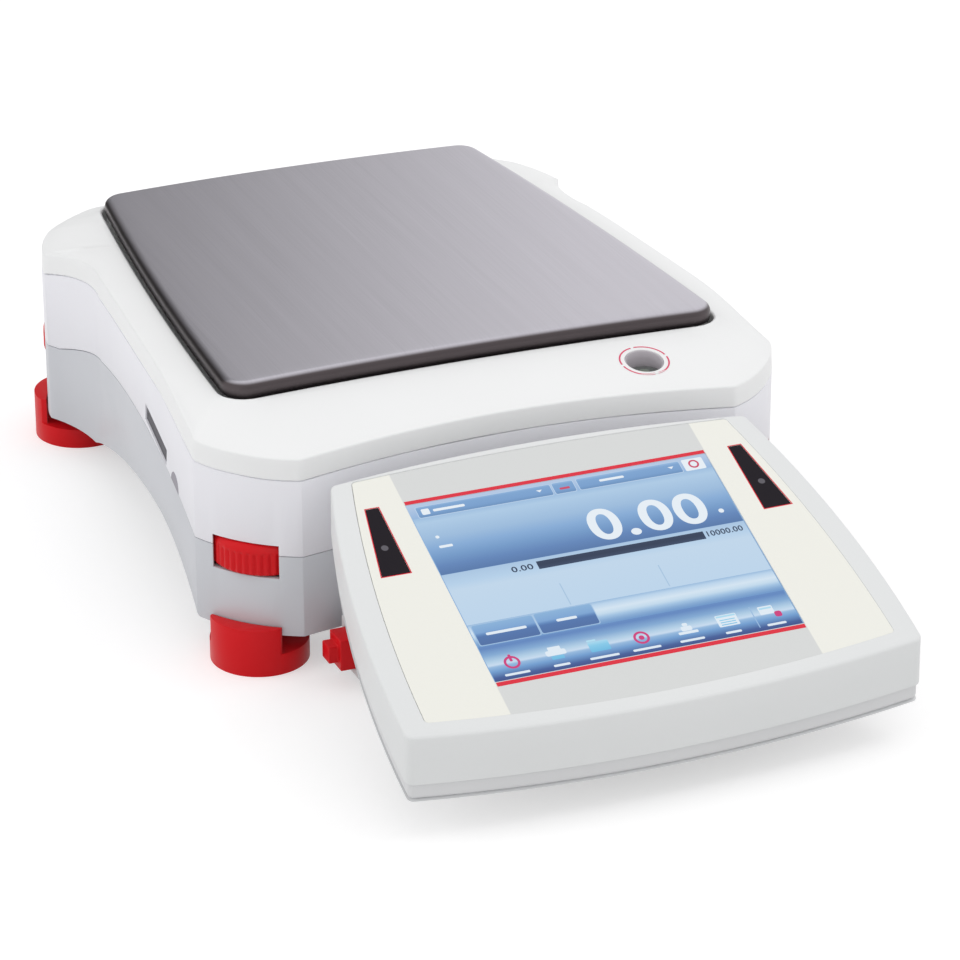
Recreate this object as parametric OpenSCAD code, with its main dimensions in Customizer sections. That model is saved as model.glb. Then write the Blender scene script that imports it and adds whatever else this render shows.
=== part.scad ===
// Top-loading precision balance with a detachable screen terminal.
// Millimetres, +Z up, the terminal faces -Y. The feet stand on Z = 0.

/* [Housing plan] */
// Width over the outer ends of the front corner faces
base_w = 228.8; // [216:0.2:240]
// Width of the front wall between its corner faces
front_w = 169.2; // [160:0.2:178]
// Distance of the front wall's ends ahead of the origin
front_y = 64.5; // [60:0.5:68]
// Distance of the corner faces' outer ends ahead of the origin
corner_y = 33.8; // [30:0.2:37]
// Depth of the hollow in the front wall
front_hollow = 8; // [5:0.5:10]
// Bulge of the front corner faces
corner_bulge = 4; // [3:0.2:5]
// Width at the waist of the sides
waist_w = 204; // [202:0.5:208]
// Distance of the waist behind the origin
waist_y = 118; // [112:1:122]
// Width over the flared tail
tail_w = 220.8; // [216:0.2:226]
// Distance of the flared tail behind the origin
tail_y = 156; // [153:0.5:159]
// Width of the rear wall between its corner faces
rear_w = 168; // [162:0.5:174]
// Distance of the rear wall behind the origin
rear_y = 194; // [192:0.5:200]
// Bulge of the rear corner faces
rear_bulge = 6.5; // [5:0.25:7.5]

/* [Housing heights] */
// Underside of the legs
leg_z = 14.8; // [13:0.2:16]
// Top of the arch under the sides
arch_z = 33; // [30:0.5:35]
// Radius of the arch in front of its top
arch_front_r = 108; // [104:1:116]
// Radius of the arch behind its top
arch_rear_r = 290; // [270:5:310]
// Distance of the top of the arch behind the origin
arch_y = 25; // [22:0.5:28]
// Seam between the two shells, at the corners
seam_z = 46; // [45:0.2:48]
// Rise of the seam along the sides
seam_rise = 14; // [10:0.5:16]
// Deck height at the front corners
corner_z = 84; // [82:0.2:86]
// Deck height at the middle of the sides
side_z = 91.2; // [90:0.2:92]
// Deck height at the rear corners
tail_z = 84.5; // [83:0.2:86]
// Deck height round the pan recess
rim_z = 92.5; // [92.2:0.1:94]
// Height of the band of the top cover
band_h = 8.4; // [7.5:0.1:9.5]
// Wall thickness of the housing
wall = 2.4; // [2:0.1:2.8]
// Width of the thin joint lines
line = 0.35; // [0.2:0.05:0.5]
// Thickness of the lips that line up the shells
lip_t = 1.6; // [1.2:0.1:2]
// Reach of the lips
lip_h = 3; // [2:0.25:4]
// Clearance between a lip and the wall that it lines up
lip_gap = 0.05; // [0.03:0.01:0.2]

/* [Pan] */
// Top of the weighing pan
pan_z = 98; // [97:0.2:100]
// Pan width between its front corners
pan_front_w = 194.4; // [186:0.2:198]
// Pan width between its back corners
pan_back_w = 158.6; // [150:0.2:162]
// Distance of the pan's front corners ahead of the origin
pan_front = 24.5; // [20:0.5:26]
// Distance of the pan's back corners behind the origin
pan_back = 177.5; // [170:0.5:179]
// Bow of the pan's sides
pan_bow = 2.4; // [1.5:0.1:3]
// Hollow of the pan's front edge
pan_hollow = 4; // [2:0.25:5]
// Bow of the pan's back edge
pan_back_bow = 3.5; // [2:0.25:4]
// Corner radius of the pan
pan_r = 9; // [6:0.5:12]
// Height of the pan's rim
pan_rim = 6.5; // [6:0.1:7]
// Sheet thickness of the pan
pan_t = 1; // [0.8:0.1:1.4]
// Gap between the pan and its recess
pan_gap = 2; // [1.5:0.1:2.6]
// Floor of the pan recess
tray_z = 86; // [85:0.2:87]
// Travel of the loaded pan support
load_travel = 1.2; // [0.6:0.1:1.4]
// Height of the rubber bumpers under the pan
bumper_h = 2.5; // [2:0.1:3]
// Radius of the bumpers
bumper_r = 6; // [4:0.5:8]

/* [Feet and wheels] */
// Distance of the foot axis behind its corner face
axis_in = 18.4; // [17:0.2:20]
// How far a thumbwheel stands proud of its corner face
wheel_proud = 2; // [0.8:0.1:2.4]
// Thickness of a thumbwheel
wheel_h = 12; // [10:0.25:13]
// Underside of a thumbwheel
wheel_z = 37.6; // [36.5:0.1:38.5]
// Number of grip flutes on a thumbwheel
wheel_flutes = 60; // [24:1:64]
// Width of the slot in front of a thumbwheel
slot_w = 26.3; // [24:0.1:29]
// Clearance round a thumbwheel
wheel_gap = 0.5; // [0.4:0.05:0.8]
// Radius of a thumbwheel's sleeve
sleeve_r = 8; // [7:0.25:9]
// Length of a thumbwheel's sleeve
sleeve_h = 12; // [8:0.5:14]
// Radius of a foot's spindle
spindle_r = 4; // [3:0.1:4.6]
// Radial clearance of the turning fits
run_gap = 0.05; // [0.03:0.01:0.1]
// Distance of a foot's middle ahead of its spindle
foot_out = 7.4; // [6.5:0.1:8]
// Radius of a foot
foot_r = 18.1; // [17:0.1:19]
// Thickness of a foot's sole
foot_h = 8; // [6:0.25:9]
// Height of a foot's lip
foot_lip_h = 18.3; // [16.5:0.1:20]
// Width of a foot's lip
foot_lip_w = 28; // [24:0.5:29]
// Clearance between a foot's lip and the corner face
foot_gap = 0.6; // [0.4:0.05:1]

/* [Level and side slots] */
// Place of the level across the deck
level_x = 58.5; // [54:0.5:64]
// Distance of the level ahead of the origin
level_y = 41; // [39:0.5:43]
// Radius of the level's hole
level_r = 7.3; // [7:0.1:9]
// Wall of the level's cup
level_wall = 1; // [0.8:0.1:1.4]
// Depth of the level's cup under the deck
level_depth = 15; // [13:0.5:18]
// Height of the vial
vial_h = 7; // [5:0.25:8]
// Radius of the bubble
bubble_r = 2; // [1.5:0.1:2.5]
// Length of a side slot
side_slot_l = 32; // [24:0.5:34]
// Height of a side slot
side_slot_h = 7; // [5:0.25:7.5]
// Place of the side slots along Y
side_slot_y = 22; // [18:0.5:26]
// Height of the side slots
side_slot_z = 62.6; // [62:0.1:64]
// Slope of the side slots in degrees
side_slot_tilt = 10; // [6:0.5:12]

/* [Inside] */
// Place of the load post along Y
post_y = 78; // [74:0.5:82]
// Radius of the load post
post_r = 6; // [4:0.25:7]
// Clearance round the load post
post_gap = 4; // [3:0.25:6]
// Height of the cell frame's plate
cell_z = 42; // [41:0.25:43]
// Thickness of the cell frame's plate
cell_t = 6; // [4:0.25:7]
// Place of the magnet pot along Y
magnet_y = 130; // [126:0.5:134]
// Radius of the magnet pot
magnet_r = 16; // [14:0.25:18]
// Height of the magnet pot
magnet_h = 14; // [10:0.5:15]
// Place of the calibration screw across
cal_x = 56; // [52:0.5:58]
// Place of the calibration screw along Y
cal_y = 92; // [88:0.5:94]
// Radius of the calibration screw
cal_r = 2.5; // [2:0.1:3]
// Travel of the calibration weight
cal_travel = 5; // [3:0.5:6]
// Radius of the calibration weight
weight_r = 12; // [9:0.5:13]
// Height of the calibration weight
weight_h = 9; // [6:0.5:10]
// Height of the main board
board_z = 23; // [21:0.25:24]
// Thickness of the circuit boards
board_t = 1.6; // [1.2:0.1:2]
// Width of the main board
board_w = 104; // [100:1:108]
// Width of the rear panel
panel_w = 98; // [94:0.5:102]
// Height of the rear panel
panel_h = 20; // [18:0.25:21]
// Underside of the rear panel
panel_z = 21; // [20:0.25:22]
// Clearance round the ports and the rear panel
port_gap = 0.15; // [0.1:0.05:0.3]
// Radius of the power jack's hole
jack_r = 2.75; // [2:0.05:3.2]
// How far the serial port's shell stands proud of the rear panel
serial_proud = 5; // [3:0.25:6]
// Radius of the hole for weighing below
hook_r = 10; // [8:0.25:11]
// Thickness of the hook cover
hook_t = 2.4; // [1.8:0.1:3]

/* [Terminal] */
// Slope of the screen in degrees
tilt = 20.5; // [19:0.25:22]
// Distance of the screen's centre ahead of the origin
scr_y = 136.1; // [134:0.1:138]
// Height of the screen's centre
scr_z = 60; // [58:0.25:62]
// Width of the screen
scr_w = 115.2; // [110:0.2:118]
// Height of the screen along the slope
scr_h = 86.4; // [82:0.2:89]
// Width of the terminal at its front
term_front_w = 192; // [186:0.5:198]
// Width of the terminal at its back
term_back_w = 160; // [154:0.5:166]
// Distance of the terminal's front corners ahead of the origin
term_front = 192.5; // [190:0.5:196]
// Distance of the terminal's back corners ahead of the origin
term_back = 81; // [79:0.5:83]
// Bow of the terminal's front edge
term_bow = 6.5; // [5:0.25:8]
// Bow of the terminal's sides
term_side_bow = 4.5; // [3:0.25:6]
// Bow of the terminal's back edge
term_back_bow = 4.5; // [3:0.25:6]
// Corner radius of the terminal
term_r = 3; // [2:0.5:5]
// Height of the upper shell's wall
up_h = 18; // [17:0.25:19]
// Height of the lower shell's wall
low_h = 6.5; // [6:0.25:8]
// Step from the upper to the lower shell
shell_step = 0.8; // [0.4:0.1:1.2]
// Wall thickness of the terminal
term_wall = 2.6; // [2.2:0.1:3]
// Thickness of the faceplate
plate_t = 1.4; // [1:0.1:1.6]
// Gap round the faceplate
plate_gap = 0.25; // [0.15:0.05:0.4]
// Faceplate width at its front
plate_front_w = 174.4; // [172:0.2:177]
// Faceplate width at its back
plate_back_w = 144.4; // [142:0.2:146]
// Faceplate reach from the screen's centre to its back corners
plate_reach = 58; // [56:0.25:58.5]
// Faceplate reach from the screen's centre to its front corners
plate_front = 55; // [53:0.25:57]
// Bow of the faceplate's front edge
plate_front_bow = 6; // [5:0.25:7]
// Bow of the faceplate's sides
plate_bow = 3.4; // [2.5:0.1:3.6]
// Gap round the touch glass and the sensor windows
glass_gap = 0.2; // [0.1:0.05:0.3]
// Thickness of the touch glass
glass_t = 2.8; // [2.6:0.1:3.4]
// Depth of the glass under the faceplate's front
glass_in = 0.3; // [0.1:0.05:0.5]
// Thickness of the display panel
panel_t = 4; // [3:0.25:5]
// Margin of the display panel round the screen
panel_edge = 4; // [3:0.5:6]
// Radius of a sensor lens
lens_r = 1.3; // [0.8:0.1:1.6]

/* [Dock] */
// Half width of the terminal's stand
stand_x = 62; // [60:0.5:64]
// Distance of the stand's front ahead of the origin
stand_front = 146; // [142:0.5:150]
// Distance of the stand's rear ahead of the origin
stand_rear = 69; // [68:0.25:70]
// Half width of the stand's wings, which hold the latches
wing_x = 72; // [71:0.25:74]
// Length of the wings
wing_l = 17; // [16:0.25:18]
// Top of the wings
wing_z = 23; // [22:0.25:26]
// Height of the rubber feet of the terminal
pad_h = 5; // [4:0.25:6]
// Radius of the rubber feet of the terminal
pad_r = 6; // [5:0.25:7]
// Half width of the dock rail
rail_x = 40; // [36:0.5:44]
// Underside of the dock rail
rail_z = 3; // [2.5:0.25:4]
// Thickness of the dock rail
rail_t = 4; // [3:0.25:5]
// Distance of the rail's front end ahead of the origin
rail_front = 124; // [118:0.5:128]
// Clearance between the rail and the stand
rail_gap = 0.5; // [0.4:0.05:0.8]
// Height of a latch
latch_h = 12; // [10:0.25:13]
// Length of a latch
latch_l = 11; // [9:0.25:12]
// How far a latch's press nub stands proud of its wing
latch_proud = 9.5; // [8:0.25:11]
// How far the block of a latch stands proud of its wing
latch_step = 5.8; // [4.5:0.1:6.5]
// Length of a latch's press nub
nub_l = 7; // [5:0.25:8]
// Height of a latch's press nub
nub_h = 6.5; // [5:0.25:8]
// Travel of a latch
latch_travel = 3; // [2:0.25:4]
// Clearance round a latch
latch_gap = 0.4; // [0.35:0.05:0.6]

/* [Hidden] */
$fn = 64;
e = 0.01;
big = 400;

function unit(v) = v / norm(v);
function turn_left(v) = [-v.y, v.x];
function arc_r(a, b, s) = (norm(b - a) * norm(b - a) / 4 + s * s) / (2 * abs(s));
// Centre of the arc from a to b; a positive s bulges to the right of the way from a to b
function arc_c(a, b, s) = (a + b) / 2
    + turn_left(unit(b - a)) * (arc_r(a, b, s) - abs(s)) * sign(s);
function meet(c, r, d, s, way) = let (
    w = unit(d - c),
    l = norm(d - c),
    k = (l * l + r * r - s * s) / (2 * l))
    c + w * k + way * turn_left(w) * sqrt(r * r - k * k);
function nearer(p, q, r) = norm(p - q) < norm(p - r) ? q : r;
function flip(p) = [-p.x, p.y];

// Housing plan, right half
pt_front = [front_w / 2, -front_y];
pt_corner = [base_w / 2, -corner_y];
pt_waist = [waist_w / 2, waist_y];
pt_tail = [tail_w / 2, tail_y];
pt_rear = [rear_w / 2, rear_y - 1];
side_dir = unit(pt_waist - pt_corner);
side_out = [side_dir.y, -side_dir.x];
waist_dip = 0.5;
flare_n = (pt_tail - pt_waist) * side_out + waist_dip;
flare_t = (pt_tail - pt_waist) * side_dir;
flare_r = (flare_t * flare_t + flare_n * flare_n) / (2 * flare_n);
flare_c = pt_waist + side_out * (flare_r - waist_dip);
face_n = -turn_left(unit(pt_corner - pt_front));
face_r = arc_r(pt_front, pt_corner, corner_bulge);
face_c = arc_c(pt_front, pt_corner, corner_bulge);
rear_n = -turn_left(unit(pt_rear - pt_tail));
rear_r = arc_r(pt_tail, pt_rear, rear_bulge);
rear_c = arc_c(pt_tail, pt_rear, rear_bulge);
hollow_r = arc_r(flip(pt_front), pt_front, front_hollow);
hollow_c = arc_c(flip(pt_front), pt_front, -front_hollow);

// Foot axes
axis_front = face_c + face_n * (face_r - axis_in);
axis_rear = rear_c + rear_n * (rear_r - axis_in);
turn_front = atan2(face_n.y, face_n.x);
turn_rear = atan2(rear_n.y, rear_n.x);
wheel_r = axis_in + wheel_proud;
slot_z = wheel_z - wheel_gap;
slot_h = wheel_h + 2 * wheel_gap;
spindle_top = wheel_z + wheel_h - 1;

// Seam arch
seam_half = 92;
seam_mid = 58.5;
seam_r = (seam_half * seam_half + seam_rise * seam_rise) / (2 * seam_rise);
seam_top = seam_z + seam_rise;

// Pan plan
pan_fr = [pan_front_w / 2, -pan_front];
pan_br = [pan_back_w / 2, pan_back];

// Terminal plan
term_fr = [term_front_w / 2, -term_front];
term_br = [term_back_w / 2, -term_back];
plate_fr = [plate_front_w / 2, -plate_front];
plate_br = [plate_back_w / 2, plate_reach];
face_k = tan(tilt);
function face_z(y) = scr_z + face_k * (y + scr_y);
shell_h = up_h + low_h;

level_top = rim_z - (rim_z - corner_z) * (level_y - pan_front - 3) / (front_y - pan_front - 3);
support_z = tray_z + load_travel + 1.3;
support_t = 3;
bumper_z = pan_z - pan_t - bumper_h;
post_top = support_z;
post_low = cell_z - 2;
floor_z = leg_z + wall;
panel_y = rear_y - wall;
hook_z = 22;
hook_pivot = hook_r + 6;
rail_top = rail_z + rail_t;
wing_y = stand_rear + wing_l;
latch_y = stand_rear + (wing_l - latch_l) / 2;
latch_z = 8;
latch_in = wing_x - latch_travel - 3;
boss_r = 5;
screw_r = 1.8;
screw_spots = [[64, -51], [-64, -51], [63, 184], [-63, 184]];
screw_mid = 28;
term_screws = [[80, -176], [-80, -176], [66, -100], [-66, -100]];
pad_spots = [[52, -stand_front + 9], [-52, -stand_front + 9], [52, -wing_y - 5], [-52, -wing_y - 5]];
bumper_spots = [[62, post_y + 62], [-62, post_y + 62], [62, post_y - 62], [-62, post_y - 62]];
cell_feet = [[-32, 30], [32, 30], [-32, 144], [32, 144]];
sensor_pts = [[67.5, 12.2], [77.7, 12.3], [72, 44.2], [67.5, 44.2]];
lens_spot = [72, 25.2];

// Shapes that repeat

module both() {
    children();
    mirror([1, 0, 0]) children();
}

module corner_cut(a, b, c, r, n, i) {
    // What lies outside a bulged corner face
    difference() {
        polygon([a - n * (2.5 + i) + unit(a - b) * 12, a + n * norm(b - a) + unit(a - b) * 12,
            b + n * norm(b - a) + unit(b - a) * 12, b - n * (2.5 + i) + unit(b - a) * 12]);
        translate(c) circle(r - i, $fn = 96);
    }
}

module housing_plan(i = 0) {
    // Plan of the housing, drawn in by i
    edge = side_out * i;
    p = pt_corner - edge - side_dir * 45;
    q = pt_waist - edge;
    difference() {
        polygon([flip(p), p, q, [tail_w / 2 + 6, waist_y], [tail_w / 2 + 6, rear_y - i],
            [-tail_w / 2 - 6, rear_y - i], [-tail_w / 2 - 6, waist_y], flip(q)]);
        translate(hollow_c) circle(hollow_r + i, $fn = 720);
        both() {
            translate(flare_c) circle(flare_r + i, $fn = 192);
            corner_cut(pt_front, pt_corner, face_c, face_r, face_n, i);
            corner_cut(pt_tail, pt_rear, rear_c, rear_r, rear_n, i);
        }
    }
}

// Points of an arc from angle a to angle b, in n steps
function arc_pts(c, r, a, b, n) = [for (j = [0 : n]) let (t = a + (b - a) * j / n) c + r * [cos(t), sin(t)]];
function heading(v) = atan2(v.y, v.x);
function mirrored(pts) = [for (j = [len(pts) - 1 : -1 : 0]) flip(pts[j])];

module bowed_plan(fr, br, s_front, s_side, s_back, r, i = 0) {
    // Four-sided plan with bowed edges and round corners, drawn in by i
    c_side = arc_c(fr, br, s_side);
    r_side = arc_r(fr, br, s_side);
    c_back = arc_c(br, flip(br), s_back);
    r_back = arc_r(br, flip(br), s_back);
    c_front = arc_c(flip(fr), fr, s_front);
    r_front = arc_r(flip(fr), fr, s_front);
    k = sign(s_front);
    q = max(r - i, 0.6);
    d = i + q;
    f_back = nearer(br, meet(c_side, r_side - d, c_back, r_back - d, 1),
        meet(c_side, r_side - d, c_back, r_back - d, -1));
    f_front = nearer(fr, meet(c_side, r_side - d, c_front, r_front - k * d, 1),
        meet(c_side, r_side - d, c_front, r_front - k * d, -1));
    a_front = heading(f_front - c_front);
    front = arc_pts(c_front, r_front - k * i, -90 * k, a_front, 8);
    front_corner = arc_pts(f_front, q, a_front - 90 + 90 * k, heading(f_front - c_side), 8);
    side = arc_pts(c_side, r_side - i, heading(f_front - c_side), heading(f_back - c_side), 12);
    back_corner = arc_pts(f_back, q, heading(f_back - c_side), heading(f_back - c_back), 8);
    back = arc_pts(c_back, r_back - i, heading(f_back - c_back), 90, 8);
    half = concat([for (j = [0 : 7]) front[j]], [for (j = [0 : 7]) front_corner[j]],
        [for (j = [0 : 11]) side[j]], [for (j = [0 : 7]) back_corner[j]], back);
    other = mirrored(half);
    polygon(concat(half, [for (j = [1 : len(other) - 2]) other[j]]));
}

module pan_plan(i = 0) {
    bowed_plan(pan_fr, pan_br, -pan_hollow, pan_bow, pan_back_bow, pan_r, i);
}

module term_plan(i = 0) {
    bowed_plan(term_fr, term_br, term_bow, term_side_bow, term_back_bow, term_r, i);
}

module plate_plan(i = 0) {
    bowed_plan(plate_fr, plate_br, plate_front_bow, plate_bow, 2.5, 1.5, i);
}

module spike(p, z) {
    translate([p.x, p.y, 0]) cylinder(h = z, r = e, $fn = 4);
}

module roof(drop = 0) {
    // Everything under the crowned deck, lowered by drop
    translate([0, 0, -drop]) hull() {
        both() {
            spike(pt_front + [0.8, -2.2], corner_z - 0.3);
            spike((pt_front + pt_corner) / 2 + face_n * (corner_bulge + 3), corner_z - 0.5);
            spike(pt_corner + [2.2, -0.8], corner_z - 0.2);
            spike(pt_corner + side_dir * 48 + side_out * 2, side_z);
            spike(pt_corner + side_dir * 112 + side_out * 4, side_z);
            spike(pt_tail + [2.6, -1], tail_z - 0.5);
            spike((pt_tail + pt_rear) / 2 + rear_n * (rear_bulge + 3), tail_z - 0.4);
            spike(pt_rear + [2, 3.5], tail_z - 0.4);
            spike(pan_fr + [3, 7], rim_z);
            spike(pan_fr + [-13, -3], rim_z);
            spike((pan_fr + pan_br) / 2 + [pan_bow + 3, 0], rim_z);
            spike(pan_br + [3, -9], rim_z);
            spike(pan_br + [-9, 3], rim_z);
        }
    }
}

module seam_block(rise = 0) {
    // Everything under the seam, raised by rise
    translate([-big / 2, -big / 2, -50]) cube([big, big, seam_z + rise + 50]);
    translate([0, seam_mid, seam_top - seam_r]) rotate([0, 90, 0])
        cylinder(h = big, r = seam_r + rise, center = true, $fn = 160);
}

module arch(grow = 0) {
    // The arch under the sides: a tight curve in front of its top and a long one behind
    intersection() {
        translate([0, arch_y, arch_z - arch_front_r]) rotate([0, 90, 0])
            cylinder(h = big, r = arch_front_r + grow, center = true, $fn = 128);
        translate([-big / 2, arch_y - big, -big / 2]) cube(big);
    }
    intersection() {
        translate([0, arch_y, arch_z - arch_rear_r]) rotate([0, 90, 0])
            cylinder(h = big, r = arch_rear_r + grow, center = true, $fn = 256);
        translate([-big / 2, arch_y, -big / 2]) cube(big);
    }
}

module at_axes() {
    both() {
        translate(axis_front) rotate(turn_front) children();
        translate(axis_rear) rotate(turn_rear) children();
    }
}

module wheel_room() {
    // Slots and room for the four thumbwheels
    at_axes() translate([0, 0, slot_z]) {
        cylinder(h = slot_h, r = wheel_r + wheel_gap);
        translate([0, -slot_w / 2, 0]) cube([40, slot_w, slot_h]);
    }
}

module side_slot_room(gap = 0) {
    translate([0, side_slot_y, side_slot_z]) rotate([side_slot_tilt, 0, 0])
        cube([big, side_slot_l - 2 * gap, side_slot_h - 2 * gap], center = true);
}

module thumbwheel() {
    color("crimson") difference() {
        union() {
            translate([0, 0, wheel_z]) linear_extrude(wheel_h) difference() {
                circle(wheel_r, $fn = 128);
                for (k = [0 : wheel_flutes - 1]) rotate(k * 360 / wheel_flutes)
                    translate([wheel_r + 0.35, 0]) circle(1);
            }
            translate([0, 0, wheel_z - sleeve_h]) cylinder(h = sleeve_h + e, r = sleeve_r);
        }
        translate([0, 0, wheel_z - sleeve_h - 1])
            cylinder(h = sleeve_h + wheel_h + 2, r = spindle_r + run_gap);
    }
}

module levelling_foot(bow_r) {
    // Round shoe, whose wall rises as a lip in front of the corner face, and its spindle
    color("crimson") {
        difference() {
            translate([foot_out, 0, 0]) cylinder(h = foot_lip_h, r = foot_r, $fn = 96);
            translate([axis_in - bow_r, 0, foot_h])
                cylinder(h = foot_lip_h, r = bow_r + foot_gap, $fn = 128);
            for (k = [-1, 1]) translate([-big / 2, k * (foot_lip_w / 2 + big / 2) - big / 2, foot_h])
                cube(big);
        }
        translate([0, 0, foot_h - 1]) cylinder(h = spindle_top - foot_h + 1, r = spindle_r);
    }
}

module under_face(drop = 0) {
    // Everything under the terminal's sloping face, lowered by drop
    translate([0, -scr_y, scr_z - drop]) rotate([tilt, 0, 0])
        translate([-big / 2, -big / 2, -big]) cube([big, big, big]);
}

module on_face(n = 0) {
    translate([0, -scr_y, scr_z]) rotate([tilt, 0, 0]) translate([0, 0, n]) children();
}

module term_slice(inset, top, low) {
    // The terminal's plan between two planes that are parallel to its face
    difference() {
        intersection() {
            linear_extrude(140) term_plan(inset);
            under_face(top);
        }
        under_face(low);
    }
}

// Base

module lower_housing() {
    color("lightgray") difference() {
        union() {
            difference() {
                intersection() {
                    translate([0, 0, leg_z]) linear_extrude(seam_top) housing_plan();
                    seam_block();
                }
                arch();
                difference() {
                    translate([0, 0, floor_z]) linear_extrude(seam_top) housing_plan(wall);
                    arch(wall);
                }
            }
            // Lip that lines up the upper housing, and its root in the wall
            difference() {
                union() {
                    intersection() {
                        linear_extrude(seam_top + 2 * lip_h) difference() {
                            housing_plan(wall + lip_gap);
                            housing_plan(wall + lip_t);
                        }
                        seam_block(lip_h);
                    }
                    intersection() {
                        linear_extrude(seam_top + 2 * lip_h) difference() {
                            housing_plan(wall / 2);
                            housing_plan(wall + lip_t);
                        }
                        seam_block(-0.5);
                    }
                }
                seam_block(-lip_h);
            }
            // Bosses under the thumbwheels
            at_axes() translate([0, 0, floor_z - e])
                cylinder(h = wheel_z - 0.3 - floor_z + e, r = sleeve_r + 3);
            // Columns for the housing screws
            for (p = screw_spots) translate([p.x, p.y, floor_z - e])
                cylinder(h = screw_mid - floor_z + e, r = boss_r);
            // Pillars for the weigh cell and the main board
            difference() {
                for (p = cell_feet) translate([p.x, p.y, floor_z - e])
                    cylinder(h = cell_z - floor_z + e, r = boss_r);
                arch(wall / 2);
            }
            for (p = [[-46, 160], [46, 160], [-46, 182], [46, 182]])
                translate([p.x, p.y, floor_z - e]) cylinder(h = board_z - floor_z + e, r = 3);
            // Ring round the hole for weighing below
            translate([0, post_y, hook_z]) cylinder(h = arch_z - hook_z, r = hook_pivot + 4);
        }
        wheel_room();
        at_axes() {
            translate([0, 0, wheel_z - sleeve_h - 0.5])
                cylinder(h = sleeve_h + 1, r = sleeve_r + run_gap);
            translate([0, 0, leg_z - 1]) cylinder(h = wheel_z, r = spindle_r + 0.6);
        }
        for (p = screw_spots) translate([p.x, p.y, leg_z - 1]) {
            cylinder(h = screw_mid - leg_z + 2, r = screw_r + 0.1);
            cylinder(h = 3.2, r = 3.7);
        }
        translate([0, post_y, hook_z - 1]) cylinder(h = arch_z, r = hook_r);
        translate([hook_pivot, post_y, hook_z - 1]) cylinder(h = 7, r = 2 + run_gap);
        // Window of the rear panel
        translate([-panel_w / 2 - port_gap, panel_y - 3, panel_z - port_gap])
            cube([panel_w + 2 * port_gap, 10, panel_h + 2 * port_gap]);
    }
}

module upper_housing() {
    color("whitesmoke") difference() {
        union() {
            difference() {
                intersection() {
                    linear_extrude(rim_z) housing_plan();
                    roof(band_h + line);
                }
                translate([0, 0, -1]) linear_extrude(rim_z + 2) housing_plan(wall);
                seam_block(line);
            }
            // Screw bosses, with ribs to the wall
            intersection() {
                for (p = screw_spots) {
                    translate([p.x, p.y, screw_mid]) cylinder(h = seam_z + 14 - screw_mid, r = boss_r);
                    translate([p.x - 2, min(p.y, p.y + sign(p.y) * 30), seam_z + lip_h + 2])
                        cube([4, 30, 9]);
                }
                linear_extrude(rim_z) housing_plan(wall / 2);
            }
        }
        wheel_room();
        side_slot_room();
        for (p = screw_spots) translate([p.x, p.y, screw_mid - 1])
            cylinder(h = 14, r = screw_r + 0.05);
    }
}

module cover_inside() {
    // What stays under the deck: the lip, the tray of the recess and the collar of the level
    difference() {
        linear_extrude(rim_z) difference() {
            housing_plan(wall + lip_gap);
            housing_plan(wall + lip_t);
        }
        roof(band_h + line + lip_h);
    }
    translate([0, 0, tray_z - wall]) linear_extrude(rim_z) pan_plan(-pan_gap - wall);
    translate([level_x, -level_y, level_top - level_depth - 1])
        cylinder(h = level_depth + 10, r = level_r + 2);
}

module top_cover() {
    color("white") difference() {
        intersection() {
            linear_extrude(rim_z + 1) housing_plan();
            roof();
        }
        difference() {
            union() {
                intersection() {
                    translate([0, 0, -1]) linear_extrude(rim_z + 2) housing_plan(wall);
                    roof(wall);
                }
                roof(band_h);
            }
            cover_inside();
        }
        translate([0, 0, tray_z]) linear_extrude(30) pan_plan(-pan_gap);
        translate([0, post_y, tray_z - 10]) cylinder(h = 20, r = post_r + post_gap);
        translate([level_x, -level_y, level_top - level_depth]) cylinder(h = 40, r = level_r);
    }
}

module housing_screws() {
    color("silver") for (p = screw_spots) translate([p.x, p.y, 0]) {
        translate([0, 0, leg_z + 1]) cylinder(h = screw_mid + 10 - leg_z, r = screw_r);
        translate([0, 0, leg_z + 0.2]) cylinder(h = 2, r = 3.4);
    }
}

module slot_inserts() {
    color("dimgray") intersection() {
        side_slot_room(0.1);
        linear_extrude(rim_z) difference() {
            housing_plan(0.7);
            housing_plan(wall);
        }
        both() translate([base_w / 4, -big / 2, 0]) cube([big, big, rim_z]);
    }
}

module level_cup() {
    color("gainsboro") translate([level_x, -level_y, level_top - level_depth]) difference() {
        cylinder(h = level_depth - 3, r = level_r);
        translate([0, 0, level_wall]) cylinder(h = level_depth, r = level_r - level_wall);
    }
}

module level_vial() {
    color("lightcyan") translate([level_x, -level_y, level_top - level_depth + level_wall])
        difference() {
            cylinder(h = vial_h, r = level_r - level_wall);
            translate([0, 0, 1]) cylinder(h = vial_h - 2, r = level_r - level_wall - 1);
        }
}

module level_bubble() {
    color("white") translate([level_x, -level_y, level_top - level_depth + level_wall + vial_h - 2.6])
        cylinder(h = 1.6, r = bubble_r);
}

module cell_frame() {
    // Plate with a bush that guides the load post
    color("silver") difference() {
        union() {
            translate([-40, 22, cell_z]) cube([40 + cal_x + weight_r + 2, 130, cell_t]);
            translate([0, post_y, cell_z + 1]) cylinder(h = cell_t + 5, r = post_r + 4);
        }
        translate([0, post_y, 0]) cylinder(h = 90, r = post_r + run_gap);
    }
}

module magnet_pot() {
    color("gray") translate([0, magnet_y, cell_z + cell_t]) {
        difference() {
            cylinder(h = magnet_h, r = magnet_r);
            translate([0, 0, 2]) cylinder(h = magnet_h, r = magnet_r - 4);
        }
        translate([0, 0, 1]) cylinder(h = magnet_h - 1, r = magnet_r - 10);
    }
}

module main_board() {
    color("green") translate([-board_w / 2, 154, board_z]) cube([board_w, panel_y - 1 - 154, board_t]);
}

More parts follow.
